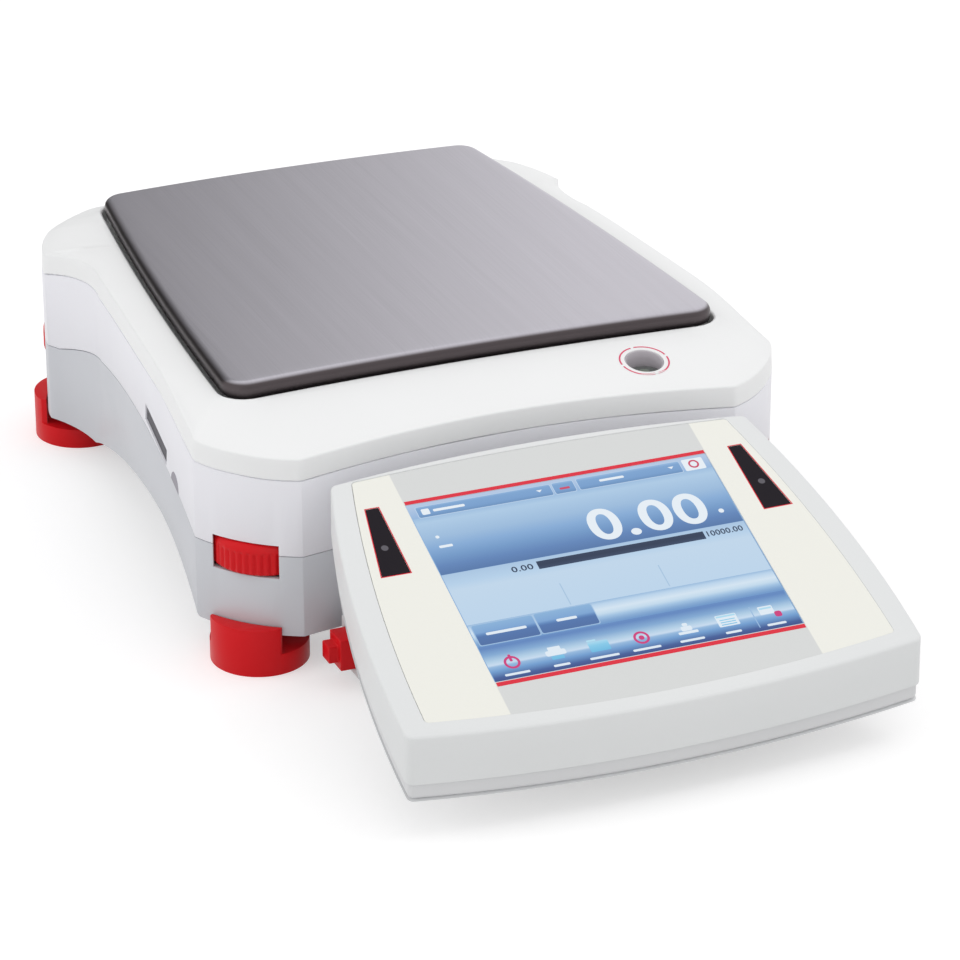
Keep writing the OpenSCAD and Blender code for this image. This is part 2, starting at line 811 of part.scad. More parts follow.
module cal_motor() {
    // Motor and bracket that carry the calibration screw
    color("dimgray") {
        translate([cal_x - 11, cal_y - weight_r - 32, cell_z + cell_t]) cube([22, 24, 22]);
        difference() {
            translate([cal_x - 8, cal_y - weight_r - 10, cell_z + cell_t]) cube([16, weight_r + 18, 3]);
            translate([cal_x, cal_y, cell_z]) cylinder(h = 20, r = cal_r + run_gap);
        }
    }
}

module cal_screw() {
    color("goldenrod") translate([cal_x, cal_y, cell_z + cell_t])
        cylinder(h = weight_h + cal_travel + 8, r = cal_r);
}

module cal_weight() {
    color("lightgray") translate([cal_x, cal_y, cell_z + cell_t + 3.3]) difference() {
        cylinder(h = weight_h, r = weight_r);
        translate([0, 0, -1]) cylinder(h = weight_h + 2, r = cal_r + run_gap);
    }
}

module port_box(x, w, h, grow = 0) {
    translate([x - w / 2 - grow, panel_y - 14 - grow, board_z + board_t - grow])
        cube([w + 2 * grow, 14 + wall + 2 * grow, h + 2 * grow]);
}

module rear_panel() {
    color("dimgray") difference() {
        translate([-panel_w / 2, panel_y, panel_z]) cube([panel_w, wall, panel_h]);
        port_box(-34, 11, 11, port_gap);
        port_box(-2, 31, 12.5, port_gap);
        port_box(34, 12.5, 11, port_gap);
    }
}

module power_jack() {
    color("black") difference() {
        port_box(-34, 11, 11);
        translate([-34, panel_y + wall + 1, board_z + board_t + 5.5]) rotate([90, 0, 0])
            cylinder(h = 12, r = jack_r);
    }
}

module serial_port() {
    color("silver") difference() {
        union() {
            port_box(-2, 31, 12.5);
            translate([-2 - 9.5, panel_y, board_z + board_t + 2]) cube([19, wall + serial_proud, 8.5]);
        }
        translate([-2 - 8.5, panel_y - 5, board_z + board_t + 3]) cube([17, 20, 6.5]);
    }
}

module usb_port() {
    color("silver") difference() {
        port_box(34, 12.5, 11);
        translate([34 - 4.5, panel_y - 7, board_z + board_t + 1.5]) cube([9, 20, 8]);
    }
}

module dock_rail() {
    color("gray") {
        translate([-rail_x, -rail_front, rail_z]) cube([2 * rail_x, rail_front - 40, rail_t]);
        translate([-rail_x, -front_y + front_hollow + 2, rail_z]) cube([2 * rail_x, 14, leg_z - rail_z]);
    }
}

module hook_cover() {
    color("gray") translate([0, post_y, hook_z - 0.3 - hook_t]) {
        cylinder(h = hook_t, r = hook_r + 3);
        translate([hook_pivot, 0, 0]) cylinder(h = hook_t, r = 5);
        translate([0, -5, 0]) cube([hook_pivot, 10, hook_t]);
        translate([hook_pivot, 0, 0]) cylinder(h = hook_t + 5.5, r = 2);
    }
}

module at_front() { translate(axis_front) rotate(turn_front) children(); }
module at_rear() { translate(axis_rear) rotate(turn_rear) children(); }
module wheel_front_left() { mirror([1, 0, 0]) at_front() thumbwheel(); }
module wheel_front_right() { at_front() thumbwheel(); }
module wheel_rear_left() { mirror([1, 0, 0]) at_rear() thumbwheel(); }
module wheel_rear_right() { at_rear() thumbwheel(); }
module foot_front_left() { mirror([1, 0, 0]) at_front() levelling_foot(face_r); }
module foot_front_right() { at_front() levelling_foot(face_r); }
module foot_rear_left() { mirror([1, 0, 0]) at_rear() levelling_foot(rear_r); }
module foot_rear_right() { at_rear() levelling_foot(rear_r); }

// Load side

module pan_support() {
    color("silver") {
        translate([0, post_y, support_z]) linear_extrude(support_t) {
            circle(24);
            for (a = [45, 135]) rotate(a) square([176, 16], center = true);
        }
        for (p = bumper_spots) translate([p.x, p.y, support_z + 1])
            cylinder(h = bumper_z - support_z - 1, r = bumper_r + 1);
    }
}

module load_hanger() {
    color("silver") {
        translate([0, post_y, post_low]) cylinder(h = post_top - post_low, r = post_r);
        translate([-5, post_y, cell_z + cell_t + magnet_h + 3]) cube([10, magnet_y - post_y, 5]);
        translate([0, magnet_y, cell_z + cell_t + 5]) difference() {
            cylinder(h = magnet_h + 3, r = magnet_r - 6);
            translate([0, 0, -1]) cylinder(h = magnet_h - 1, r = magnet_r - 8);
        }
    }
}

module pan_bumpers() {
    color("black") for (p = bumper_spots) translate([p.x, p.y, bumper_z])
        cylinder(h = bumper_h, r = bumper_r);
}

module pan() {
    color("darkgray") difference() {
        translate([0, 0, pan_z - pan_rim]) linear_extrude(pan_rim) pan_plan();
        translate([0, 0, pan_z - pan_rim - 1]) linear_extrude(pan_rim + 1 - pan_t) pan_plan(pan_t);
    }
}

// Terminal

module sensor_plan(grow = 0) {
    both() polygon([sensor_pts[0] + [-grow, -grow], sensor_pts[1] + [grow, -grow],
        sensor_pts[2] + [grow, grow], sensor_pts[3] + [-grow, grow]]);
}

module screen_plan(grow = 0) {
    square([scr_w + 2 * grow, scr_h + 2 * grow], center = true);
}

module terminal_upper_shell() {
    color("gainsboro") difference() {
        union() {
            difference() {
                term_slice(0, 0, up_h);
                intersection() {
                    linear_extrude(140) term_plan(term_wall);
                    under_face(term_wall);
                }
            }
            // Screw bosses
            intersection() {
                for (p = term_screws) translate([p.x, p.y, 0]) cylinder(h = 140, r = 3.6);
                term_slice(term_wall / 2, term_wall / 2, shell_h - term_wall);
            }
        }
        on_face(-plate_t) linear_extrude(20) plate_plan(-plate_gap);
        on_face(-20) linear_extrude(40) screen_plan(glass_gap);
        on_face(-20) linear_extrude(40) sensor_plan(glass_gap);
        for (p = term_screws) translate([p.x, p.y, face_z(p.y) - shell_h])
            cylinder(h = shell_h - 6, r = 1.3);
    }
}

module terminal_lower_shell() {
    color("darkgray") difference() {
        union() {
            difference() {
                term_slice(shell_step, up_h, shell_h);
                term_slice(shell_step + term_wall, 0, shell_h - term_wall);
            }
            // Stand under the tray, open below
            intersection() {
                under_face(shell_h - e);
                difference() {
                    translate([-stand_x, -stand_front, pad_h])
                        cube([2 * stand_x, stand_front - stand_rear, 120]);
                    translate([-stand_x + term_wall, -stand_front + term_wall, 0])
                        cube([2 * (stand_x - term_wall), stand_front - stand_rear - 2 * term_wall, 120]);
                    // Way in for the rail
                    translate([-rail_x - rail_gap, -stand_rear - 10, 0])
                        cube([2 * (rail_x + rail_gap), 20, rail_top + rail_gap]);
                }
                linear_extrude(140) union() {
                    term_plan(shell_step);
                    translate([-stand_x, -stand_front]) square([2 * stand_x, stand_front - stand_rear]);
                }
            }
            // Posts over the rubber feet
            intersection() {
                for (p = pad_spots) translate([p.x, p.y, pad_h]) cylinder(h = 120, r = pad_r);
                under_face(shell_h - e);
            }
            // Wings that hold the latches
            both() translate([stand_x - e, -wing_y, pad_h])
                cube([wing_x - stand_x + e, wing_l, wing_z - pad_h]);
        }
        // Pockets of the latches
        both() translate([latch_in - latch_travel - latch_gap, -latch_y - latch_l - latch_gap, latch_z - latch_gap])
            cube([big, latch_l + 2 * latch_gap, latch_h + 2 * latch_gap]);
        for (p = term_screws) translate([p.x, p.y, face_z(p.y) - shell_h - 5])
            cylinder(h = 12, r = 1.4);
    }
}

module faceplate() {
    color("ivory") on_face(-plate_t) linear_extrude(plate_t) difference() {
        plate_plan();
        screen_plan(glass_gap);
        sensor_plan(glass_gap);
    }
}

module touch_glass() {
    color("steelblue") on_face(-glass_in - glass_t) linear_extrude(glass_t) screen_plan();
}

module display_panel() {
    color("gray") on_face(-glass_in - glass_t - panel_t) linear_extrude(panel_t) screen_plan(panel_edge);
}

module sensor_windows() {
    color("black") difference() {
        on_face(-3.5) linear_extrude(3.5) sensor_plan();
        on_face(-1.5) linear_extrude(5) both() translate(lens_spot) circle(lens_r);
    }
}

module sensor_lenses() {
    color("gray") on_face(-1.5) linear_extrude(1.5) both() translate(lens_spot) circle(lens_r);
}

module terminal_board() {
    color("green") on_face(-glass_in - glass_t - panel_t - board_t)
        linear_extrude(board_t) square([scr_w - 6, scr_h - 12], center = true);
}

module terminal_screws() {
    color("silver") for (p = term_screws) translate([p.x, p.y, face_z(p.y) - shell_h]) {
        translate([0, 0, -2.6]) cylinder(h = 14, r = 1.25);
        translate([0, 0, -2.6]) cylinder(h = 1.6, r = 2.5);
    }
}

module terminal_feet() {
    color("black") for (p = pad_spots) translate([p.x, p.y, 0]) cylinder(h = pad_h, r = pad_r);
}

module latch() {
    // Block in the pocket of the wing, and a smaller nub to press
    translate([latch_in, -latch_y - latch_l, latch_z])
        cube([wing_x + latch_step - latch_in, latch_l, latch_h]);
    translate([latch_in + 1, -latch_y - (latch_l + nub_l) / 2, latch_z + (latch_h - nub_h) / 2])
        cube([wing_x + latch_proud - latch_in - 1, nub_l, nub_h]);
}

module latch_left() { color("crimson") mirror([1, 0, 0]) latch(); }
module latch_right() { color("crimson") latch(); }

lower_housing();
upper_housing();
top_cover();
housing_screws();
slot_inserts();
level_cup();
level_vial();
level_bubble();
cell_frame();
magnet_pot();
main_board();
cal_motor();
cal_screw();
cal_weight();
rear_panel();
power_jack();
serial_port();
usb_port();
dock_rail();
hook_cover();
wheel_front_left();
wheel_front_right();
wheel_rear_left();
wheel_rear_right();
foot_front_left();
foot_front_right();
foot_rear_left();
foot_rear_right();
pan_support();
load_hanger();
pan_bumpers();
pan();
terminal_upper_shell();
terminal_lower_shell();
faceplate();
touch_glass();
display_panel();
sensor_windows();
sensor_lenses();
terminal_board();
terminal_screws();
terminal_feet();
latch_left();
latch_right();
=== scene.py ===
# %% [markdown]
# # A precision balance with a screen terminal
# The real thing is a lab balance: a white housing on four red levelling feet, a brushed steel
# pan on top, and a tilted screen terminal docked in front. The imported solids give every piece
# its place and size. This lesson loads them as a fixed frame and dresses what can be seen:
# rounded mouldings, a folded pan rim, ribbed wheels, a lit screen and the finishes.
# The bare solids are kept in the scene, hidden where a dressed piece takes their place.

# %% Load the frame
import bpy
import bmesh
import math
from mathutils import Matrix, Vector
from mathutils.bvhtree import BVHTree


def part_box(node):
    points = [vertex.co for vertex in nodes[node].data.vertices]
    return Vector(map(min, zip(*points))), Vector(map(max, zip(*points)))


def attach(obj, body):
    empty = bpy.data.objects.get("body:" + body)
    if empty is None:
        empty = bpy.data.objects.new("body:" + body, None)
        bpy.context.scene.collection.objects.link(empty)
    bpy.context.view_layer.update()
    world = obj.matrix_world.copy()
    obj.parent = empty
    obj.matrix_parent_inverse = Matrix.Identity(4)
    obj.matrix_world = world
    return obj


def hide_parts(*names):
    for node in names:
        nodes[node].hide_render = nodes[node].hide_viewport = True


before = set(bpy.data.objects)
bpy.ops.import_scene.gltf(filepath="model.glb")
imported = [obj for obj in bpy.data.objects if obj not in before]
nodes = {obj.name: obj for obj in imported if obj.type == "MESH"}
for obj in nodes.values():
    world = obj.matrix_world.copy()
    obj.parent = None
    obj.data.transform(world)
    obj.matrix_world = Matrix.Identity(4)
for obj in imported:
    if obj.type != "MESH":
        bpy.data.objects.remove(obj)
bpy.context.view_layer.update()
scene = bpy.context.scene
mm = 0.001

# %% [markdown]
# ## Small helpers
# Blender's operators work on what is selected, so a piece is picked alone before each of them.
# A finish is a tree of nodes. One helper adds a node and feeds its inputs, each with a fixed
# value or with a link from another node.

# %% Picking pieces and feeding nodes


def deselect():
    """Back to object mode with nothing selected."""
    if bpy.context.object and bpy.context.object.mode != "OBJECT":
        bpy.ops.object.mode_set(mode="OBJECT")
    bpy.ops.object.select_all(action="DESELECT")


def only(piece):
    """Object mode with one piece selected and active."""
    deselect()
    piece.select_set(True)
    bpy.context.view_layer.objects.active = piece


def feed(tree, node, inputs):
    """Give each named input of a node a fixed value, or a link where the value is a socket."""
    for key, value in inputs.items():
        if isinstance(value, bpy.types.NodeSocket):
            tree.links.new(value, node.inputs[key])
        else:
            node.inputs[key].default_value = value
    return node


def add_node(tree, kind, inputs):
    """A new shader node with its inputs fed."""
    return feed(tree, tree.nodes.new(kind), inputs)


def maths(tree, operation, *values):
    """The result of a Math node on some values."""
    node = tree.nodes.new("ShaderNodeMath")
    node.operation = operation
    return feed(tree, node, dict(enumerate(values))).outputs[0]


def object_place(tree):
    """Object coordinates in a tree."""
    return tree.nodes.new("ShaderNodeTexCoord").outputs["Object"]


print("helpers ready")

# %% [markdown]
# ## Camera
# The picture was taken from the front left and from above, through a long lens.
# A long lens keeps far edges nearly parallel, which is why the camera stands well back.
# The view angle was found by matching the screen's corners, the deck's corners and the seam.

# %% Camera
azimuth = math.radians(22.565)
elevation = math.radians(24.702)
camera_at = (-0.5451, -1.3364, 0.6980)
bpy.ops.object.camera_add(location=camera_at, rotation=(math.pi / 2 - elevation, 0, -azimuth))
camera = bpy.context.object
camera.data.sensor_width = 36
camera.data.lens = 158.54
camera.data.dof.use_dof = False
scene.camera = camera
print("camera lens:", camera.data.lens)

# %% [markdown]
# ## Studio
# A white floor and a white surround, as in a catalogue picture. The floor is a pale diffuse
# surface, so it takes the soft shadow, and it adds a little glow for camera, glossy and
# transmission rays only, so that it reads as white without lighting the object.
# Three large soft lamps stand on the right, on the left and in front. They model the walls
# gently, and the shadow falls close to the object, a little to the left. They are hidden from
# reflections, so that the steel shows only the surround and the cards.

# %% Floor and surround


def seen_ray(tree):
    """A value that is 1 for rays that show the surround: camera, glossy and transmission rays."""
    rays = tree.nodes.new("ShaderNodeLightPath").outputs
    direct = maths(tree, "MAXIMUM", rays["Is Camera Ray"], rays["Is Glossy Ray"])
    return maths(tree, "MAXIMUM", direct, rays["Is Transmission Ray"])


def bare_material(name):
    """A material with an empty tree."""
    material = bpy.data.materials.new(name)
    material.use_nodes = True
    material.node_tree.nodes.clear()
    return material, material.node_tree


def grey(value):
    """A grey as a colour."""
    return (value, value, value, 1)


scene.view_settings.view_transform = "Standard"
world = bpy.data.worlds.new("white_surround")
scene.world = world
world.use_nodes = True
tree = world.node_tree
tree.nodes.clear()
ambient = add_node(tree, "ShaderNodeBackground", {"Color": (1.0, 0.995, 1.0, 1), "Strength": 0.80})
backdrop = add_node(tree, "ShaderNodeBackground", {"Color": grey(1), "Strength": 1.0})
choice = add_node(tree, "ShaderNodeMixShader",
                  {0: seen_ray(tree), 1: ambient.outputs[0], 2: backdrop.outputs[0]})
add_node(tree, "ShaderNodeOutputWorld", {"Surface": choice.outputs[0]})

bpy.ops.mesh.primitive_plane_add(size=9, location=(0, 0, 0))
floor = bpy.context.object
floor.name = "floor"
paper, tree = bare_material("floor_paper")
matt = add_node(tree, "ShaderNodeBsdfDiffuse", {"Color": grey(0.66)})
glow = add_node(tree, "ShaderNodeEmission", {"Color": grey(0.46), "Strength": seen_ray(tree)})
both = add_node(tree, "ShaderNodeAddShader", {0: matt.outputs[0], 1: glow.outputs[0]})
add_node(tree, "ShaderNodeOutputMaterial", {"Surface": both.outputs[0]})
floor.data.materials.append(paper)
print("floor size:", floor.dimensions.x)

# %% Lamps


def area_lamp(name, place, aim, size, watts):
    """A square soft lamp at a place, turned to a point."""
    way = Vector(aim) - Vector(place)
    bpy.ops.object.light_add(type="AREA", location=place,
                             rotation=way.to_track_quat("-Z", "Y").to_euler())
    lamp = bpy.context.object
    lamp.name = name
    lamp.data.size = size
    lamp.data.energy = watts
    lamp.visible_glossy = False


area_lamp("key_lamp", (1.1, -0.3, 1.5), (0, 0, 0.05), 0.9, 5)
area_lamp("left_lamp", (-1.5, 0.6, 0.9), (0, 0.05, 0.05), 1.2, 6)
area_lamp("front_lamp", (-0.5, -1.7, 0.7), (0, 0, 0.05), 1.2, 3)
print("lamps: 3")

# %% [markdown]
# Steel shows what stands round it, so a photographer sets up cards for it. A wide card behind
# shades from dark on the left to white on the right, and gives the pan its slow change of
# tone. A pale grey card stands in front, for the folded rim. Only reflections see the two
# cards, so they neither light the object nor throw a shadow.

# %% Cards for the steel


def share_along(tree, vector, axis, first, last):
    """How far a place lies from a first to a last value along an axis, from 0 to 1."""
    spot = add_node(tree, "ShaderNodeSeparateXYZ", {0: vector}).outputs[axis]
    span = {"Value": spot, "From Min": first, "From Max": last}
    return add_node(tree, "ShaderNodeMapRange", span).outputs["Result"]


def colour_ramp(tree, share, stops):
    """A colour that runs through (share, colour) stops."""
    ramp = add_node(tree, "ShaderNodeValToRGB", {"Fac": share})
    while len(ramp.color_ramp.elements) < len(stops):
        ramp.color_ramp.elements.new(0.5)
    for element, (at, colour) in zip(ramp.color_ramp.elements, stops):
        element.position = at
        element.color = colour
    return ramp.outputs["Color"]


def grey_card(name, place, wide, high, stops):
    """An upright card that only reflections see, shaded from left to right by (x, grey) stops."""
    deselect()
    bpy.ops.mesh.primitive_plane_add(size=1, location=place, rotation=(math.pi / 2, 0, 0))
    card = bpy.context.object
    card.name = name
    card.scale = (wide, high, 1)
    bpy.ops.object.transform_apply(location=True, rotation=True, scale=True)
    card.visible_camera = False
    card.visible_diffuse = False
    card.visible_transmission = False
    card.visible_shadow = False
    tone, tree = bare_material(name)
    first = stops[0][0]
    last = stops[-1][0]
    share = share_along(tree, object_place(tree), "X", first, last)
    shades = [((x - first) / (last - first), grey(value)) for x, value in stops]
    shine = add_node(tree, "ShaderNodeEmission", {"Color": colour_ramp(tree, share, shades)})
    add_node(tree, "ShaderNodeOutputMaterial", {"Surface": shine.outputs[0]})
    card.data.materials.append(tone)


grey_card("back_card", (-0.12, 0.55, 0.45), 0.96, 0.86,
          [(-0.25, 0.08), (-0.08, 0.28), (0.06, 0.40), (0.34, 1.12)])
grey_card("front_card", (0.1, -0.95, 0.45), 1.6, 0.8, [(-0.7, 0.70), (0.9, 0.80)])
print("cards: 2")

# %% [markdown]
# ## Shared surface effects
# Three effects come back on many pieces, so each is one shader group with named sockets.
# Moulded plastic has a fine grain and faint clouds where it cooled. Brushed metal has long
# thin lines. Handled surfaces collect a little dust in wide soft patches. A group puts out
# only values that change over the surface, and every material mixes them its own way.

# %% Shader groups


def shader_group(name, inputs, outputs):
    """An empty group with a vector input, further number inputs, and number outputs."""
    group = bpy.data.node_groups.new(name, "ShaderNodeTree")
    group.interface.new_socket(name="Vector", in_out="INPUT", socket_type="NodeSocketVector")
    for label in inputs:
        group.interface.new_socket(name=label, in_out="INPUT", socket_type="NodeSocketFloat")
    for label in outputs:
        group.interface.new_socket(name=label, in_out="OUTPUT", socket_type="NodeSocketFloat")
    start = group.nodes.new("NodeGroupInput")
    end = group.nodes.new("NodeGroupOutput")
    return group, start.outputs, end


def noise(tree, vector, scale, detail, rough=0.5):
    """A noise value over a vector."""
    inputs = {"Vector": vector, "Scale": scale, "Detail": detail, "Roughness": rough}
    return add_node(tree, "ShaderNodeTexNoise", inputs).outputs["Fac"]


moulded, start, end = shader_group("moulded_surface", ["Grain"], ["Height", "Cloud"])
feed(moulded, end, {"Height": noise(moulded, start["Vector"], start["Grain"], 3, 0.6),
                    "Cloud": noise(moulded, start["Vector"], 16, 3)})

brushed, start, end = shader_group("brushed_lines", [], ["Streak", "Height"])
hairs = add_node(brushed, "ShaderNodeMapping", {"Vector": start["Vector"], "Scale": (2600, 14, 400)})
bands = add_node(brushed, "ShaderNodeMapping", {"Vector": start["Vector"], "Scale": (170, 3, 60)})
fine = noise(brushed, hairs.outputs["Vector"], 1.0, 4, 0.65)
broad = noise(brushed, bands.outputs["Vector"], 1.0, 2)
streak = maths(brushed, "MULTIPLY_ADD", broad, 0.25, maths(brushed, "MULTIPLY", fine, 0.75))
feed(brushed, end, {"Streak": streak, "Height": fine})

dusty, start, end = shader_group("handled_dust", [], ["Dust"])
patch = noise(dusty, start["Vector"], 38, 5, 0.62)
gate = add_node(dusty, "ShaderNodeMapRange", {"Value": patch, "From Min": 0.45, "From Max": 0.85})
feed(dusty, end, {"Dust": gate.outputs["Result"]})
print("shader groups:", [g.name for g in bpy.data.node_groups])

# %% [markdown]
# ## Finishes
# Colours are written as a screen shows them and turned into the linear values that a shader
# takes. Each plastic gets its own tint, gloss and grain from the shared groups; the metals
# read the brushed lines. The screen finishes come later, with the screen.

# %% Plastics


def linear(r, g, b):
    """A colour from 0 to 255 as linear values."""
    def one(c):
        c = c / 255
        return c / 12.92 if c <= 0.04045 else ((c + 0.055) / 1.055) ** 2.4
    return (one(r), one(g), one(b), 1)


def darker(colour, share):
    """The same colour with less light."""
    return (colour[0] * share, colour[1] * share, colour[2] * share, 1)


def new_material(name):
    """A material with its tree, its shader and Object coordinates."""
    material = bpy.data.materials.new(name)
    material.use_nodes = True
    tree = material.node_tree
    return material, tree, tree.nodes["Principled BSDF"], object_place(tree)


def use_group(tree, group, inputs):
    """The outputs of a shared group placed in a material."""
    node = tree.nodes.new("ShaderNodeGroup")
    node.node_tree = group
    return feed(tree, node, inputs).outputs


def mixed(tree, factor, first, second):
    """A colour between two colours by a factor socket."""
    mix = tree.nodes.new("ShaderNodeMix")
    mix.data_type = "RGBA"
    return feed(tree, mix, {0: factor, 6: first, 7: second}).outputs[2]


def spread(tree, value, low, high):
    """A value from 0 to 1 moved into a range."""
    span = {"Value": value, "To Min": low, "To Max": high}
    return add_node(tree, "ShaderNodeMapRange", span).outputs["Result"]


def relief(tree, height, strength, distance):
    """A normal for a fine relief."""
    inputs = {"Height": height, "Strength": strength, "Distance": distance}
    return add_node(tree, "ShaderNodeBump", inputs).outputs["Normal"]


def plastic(name, colour, roughness, grain_size=900, depth=0.06, gloss=0.4):
    """Moulded plastic: a tint with faint clouds, dust that dulls the gloss and a fine grain."""
    material, tree, shader, place = new_material(name)
    surface = use_group(tree, moulded, {"Vector": place, "Grain": grain_size})
    dust = use_group(tree, dusty, {"Vector": place})["Dust"]
    tint = linear(*colour)
    feed(tree, shader, {
        "Base Color": mixed(tree, surface["Cloud"], darker(tint, 0.955), tint),
        "Roughness": spread(tree, dust, roughness, min(roughness + 0.12, 1)),
        "Normal": relief(tree, surface["Height"], depth, 0.3 * mm),
        "Specular IOR Level": gloss})
    return material


white_cover = plastic("white_cover", (243, 244, 244), 0.42, 1100, 0.05)
white_wall = plastic("white_wall", (240, 240, 245), 0.45, 1100, 0.06)
grey_base = plastic("grey_base", (205, 207, 212), 0.42, 1300, 0.07)
red_plastic = plastic("red_plastic", (216, 18, 27), 0.38, 1000, 0.06, 0.2)
terminal_white = plastic("terminal_white", (229, 231, 231), 0.42, 1000, 0.06)
terminal_grey = plastic("terminal_grey", (222, 223, 224), 0.45, 1000, 0.06)
dark_plastic = plastic("dark_plastic", (62, 62, 66), 0.5, 900, 0.10)
insert_grey = plastic("insert_grey", (74, 73, 80), 0.5, 900, 0.10)
cup_plastic = plastic("cup_plastic", (186, 180, 186), 0.5, 900, 0.06)
black_rubber = plastic("black_rubber", (38, 38, 40), 0.75, 700, 0.20)
board_green = plastic("board_green", (34, 110, 62), 0.4, 500, 0.12)
sensor_black = plastic("sensor_black", (34, 30, 36), 0.3, 1500, 0.02, 0.06)
lens_grey = plastic("lens_grey", (98, 95, 102), 0.2, 1500, 0.02, 0.1)
print("plastics made")

# %% Metals and glass


def metal(name, dark, bright, low, high, depth):
    """Brushed metal: lines that change tint, gloss and height together."""
    material, tree, shader, place = new_material(name)
    lines = use_group(tree, brushed, {"Vector": place})
    feed(tree, shader, {
        "Base Color": mixed(tree, lines["Streak"], linear(*dark), linear(*bright)),
        "Roughness": spread(tree, lines["Streak"], low, high),
        "Metallic": 1.0,
        "Normal": relief(tree, lines["Height"], depth, 0.2 * mm)})
    return material


def dark_glass(name, dark, bright, low, high, coat=0.0):
    """Dark glass: a tint and a gloss that change in wide soft patches."""
    material, tree, shader, place = new_material(name)
    patches = use_group(tree, dusty, {"Vector": place})["Dust"]
    feed(tree, shader, {
        "Base Color": mixed(tree, patches, linear(*dark), linear(*bright)),
        "Roughness": spread(tree, patches, low, high),
        "Coat Weight": coat})
    return material


pan_steel = metal("pan_steel", (180, 177, 185), (212, 209, 217), 0.30, 0.42, 0.2)
steel = metal("steel", (150, 150, 152), (190, 190, 192), 0.3, 0.45, 0.15)
cell_alloy = metal("cell_alloy", (170, 170, 173), (205, 205, 208), 0.35, 0.5, 0.2)
magnet_iron = metal("magnet_iron", (86, 86, 90), (120, 120, 124), 0.4, 0.55, 0.2)
port_metal = metal("port_metal", (182, 182, 184), (196, 196, 198), 0.28, 0.36, 0.01)
vial_glass = dark_glass("vial_glass", (70, 78, 74), (92, 102, 96), 0.04, 0.12, 0.6)
bubble_glass = dark_glass("bubble_glass", (112, 122, 112), (128, 138, 126), 0.05, 0.15)
print("materials so far:", len(bpy.data.materials))

# %% [markdown]
# The steel is painted darker on the rim than on its flat top: a painted dark reflection and shade,
# blended in by height over the fold.

# %% Painted dark reflection on the rim of the pan
# Painted dark reflection and shade: the colour that the rim of the pan gets below the fold.
painted_rim_shade = linear(88, 81, 83)
fold_low = 96.7 * mm
fold_high = 97.9 * mm
tree = pan_steel.node_tree
shader = tree.nodes["Principled BSDF"]
flat_colour = shader.inputs["Base Color"].links[0].from_socket
height = add_node(tree, "ShaderNodeSeparateXYZ", {0: object_place(tree)}).outputs["Z"]
fold = add_node(tree, "ShaderNodeMapRange",
                {"Value": height, "From Min": fold_low, "From Max": fold_high})
fold.interpolation_type = "SMOOTHSTEP"
feed(tree, shader, {"Base Color": mixed(tree, fold.outputs["Result"], painted_rim_shade, flat_colour)})
print("fold in mm:", round((fold_high - fold_low) / mm, 2))

# %% [markdown]
# ## Helpers for outlines
# The mouldings follow the outlines of the solids, so the outlines are cut from the solids
# themselves: a copy is merged and bisected by a plane, and the cut edges are walked into
# loops. A loop can then be evened out, have its sharp corners softened, or be drawn in.

# %% Cut an outline from a solid


def merged_copy(node):
    """A free copy of a solid's mesh, merged, in edit mode with everything selected."""
    copy = bpy.data.objects.new(node + "_copy", nodes[node].data.copy())
    scene.collection.objects.link(copy)
    only(copy)
    bpy.ops.mesh.customdata_custom_splitnormals_clear()
    bpy.ops.object.mode_set(mode="EDIT")
    bpy.ops.mesh.select_all(action="SELECT")
    bpy.ops.mesh.remove_doubles(threshold=2e-6)
    return copy


def girth(loop):
    """Length round a loop."""
    return sum((loop[i] - loop[i - 1]).length for i in range(len(loop)))


def section(node, point, normal, rank=0):
    """A closed loop where a plane cuts a solid: rank 0 is the longest one."""
    copy = merged_copy(node)
    bpy.ops.mesh.bisect(plane_co=point, plane_no=normal)
    cut = bmesh.from_edit_mesh(copy.data)
    cut.verts.index_update()
    links = {}
    places = {}
    for edge in cut.edges:
        if edge.select:
            a, b = edge.verts
            links.setdefault(a.index, []).append(b.index)
            links.setdefault(b.index, []).append(a.index)
            places[a.index] = a.co.copy()
            places[b.index] = b.co.copy()
    loops = []
    while links:
        first = next(iter(links))
        walk = [first]
        before = first
        here = links[first][0]
        while here != first and here in links:
            walk.append(here)
            ways = [w for w in links[here] if w != before]
            if not ways:
                break
            before = here
            here = ways[0]
        for i in walk:
            links.pop(i, None)
        loops.append([places[i] for i in walk])
    bpy.ops.object.mode_set(mode="OBJECT")
    bpy.data.objects.remove(copy)
    loops.sort(key=girth, reverse=True)
    print(node, "loops in mm:", [round(girth(one) / mm) for one in loops[:5]])
    return loops[rank]


# %% Even out, soften and draw in an outline


def flat_loop(loop, step):
    """The loop seen from above, counter-clockwise, with no needless points and none far apart."""
    pts = [Vector((p.x, p.y)) for p in loop]
    area = sum(pts[i - 1].x * pts[i].y - pts[i].x * pts[i - 1].y for i in range(len(pts)))
    if area < 0:
        pts.reverse()
    kept = []
    for i, p in enumerate(pts):
        back = p - (kept[-1] if kept else pts[i - 1])
        ahead = pts[(i + 1) % len(pts)] - p
        if back.length < 2e-5 or ahead.length < 2e-5:
            continue
        if abs(back.angle_signed(ahead)) > math.radians(0.3):
            kept.append(p)
    full = []
    for i, p in enumerate(kept):
        q = kept[(i + 1) % len(kept)]
        parts = max(1, math.ceil((q - p).length / step))
        full += [p.lerp(q, k / parts) for k in range(parts)]
    return full


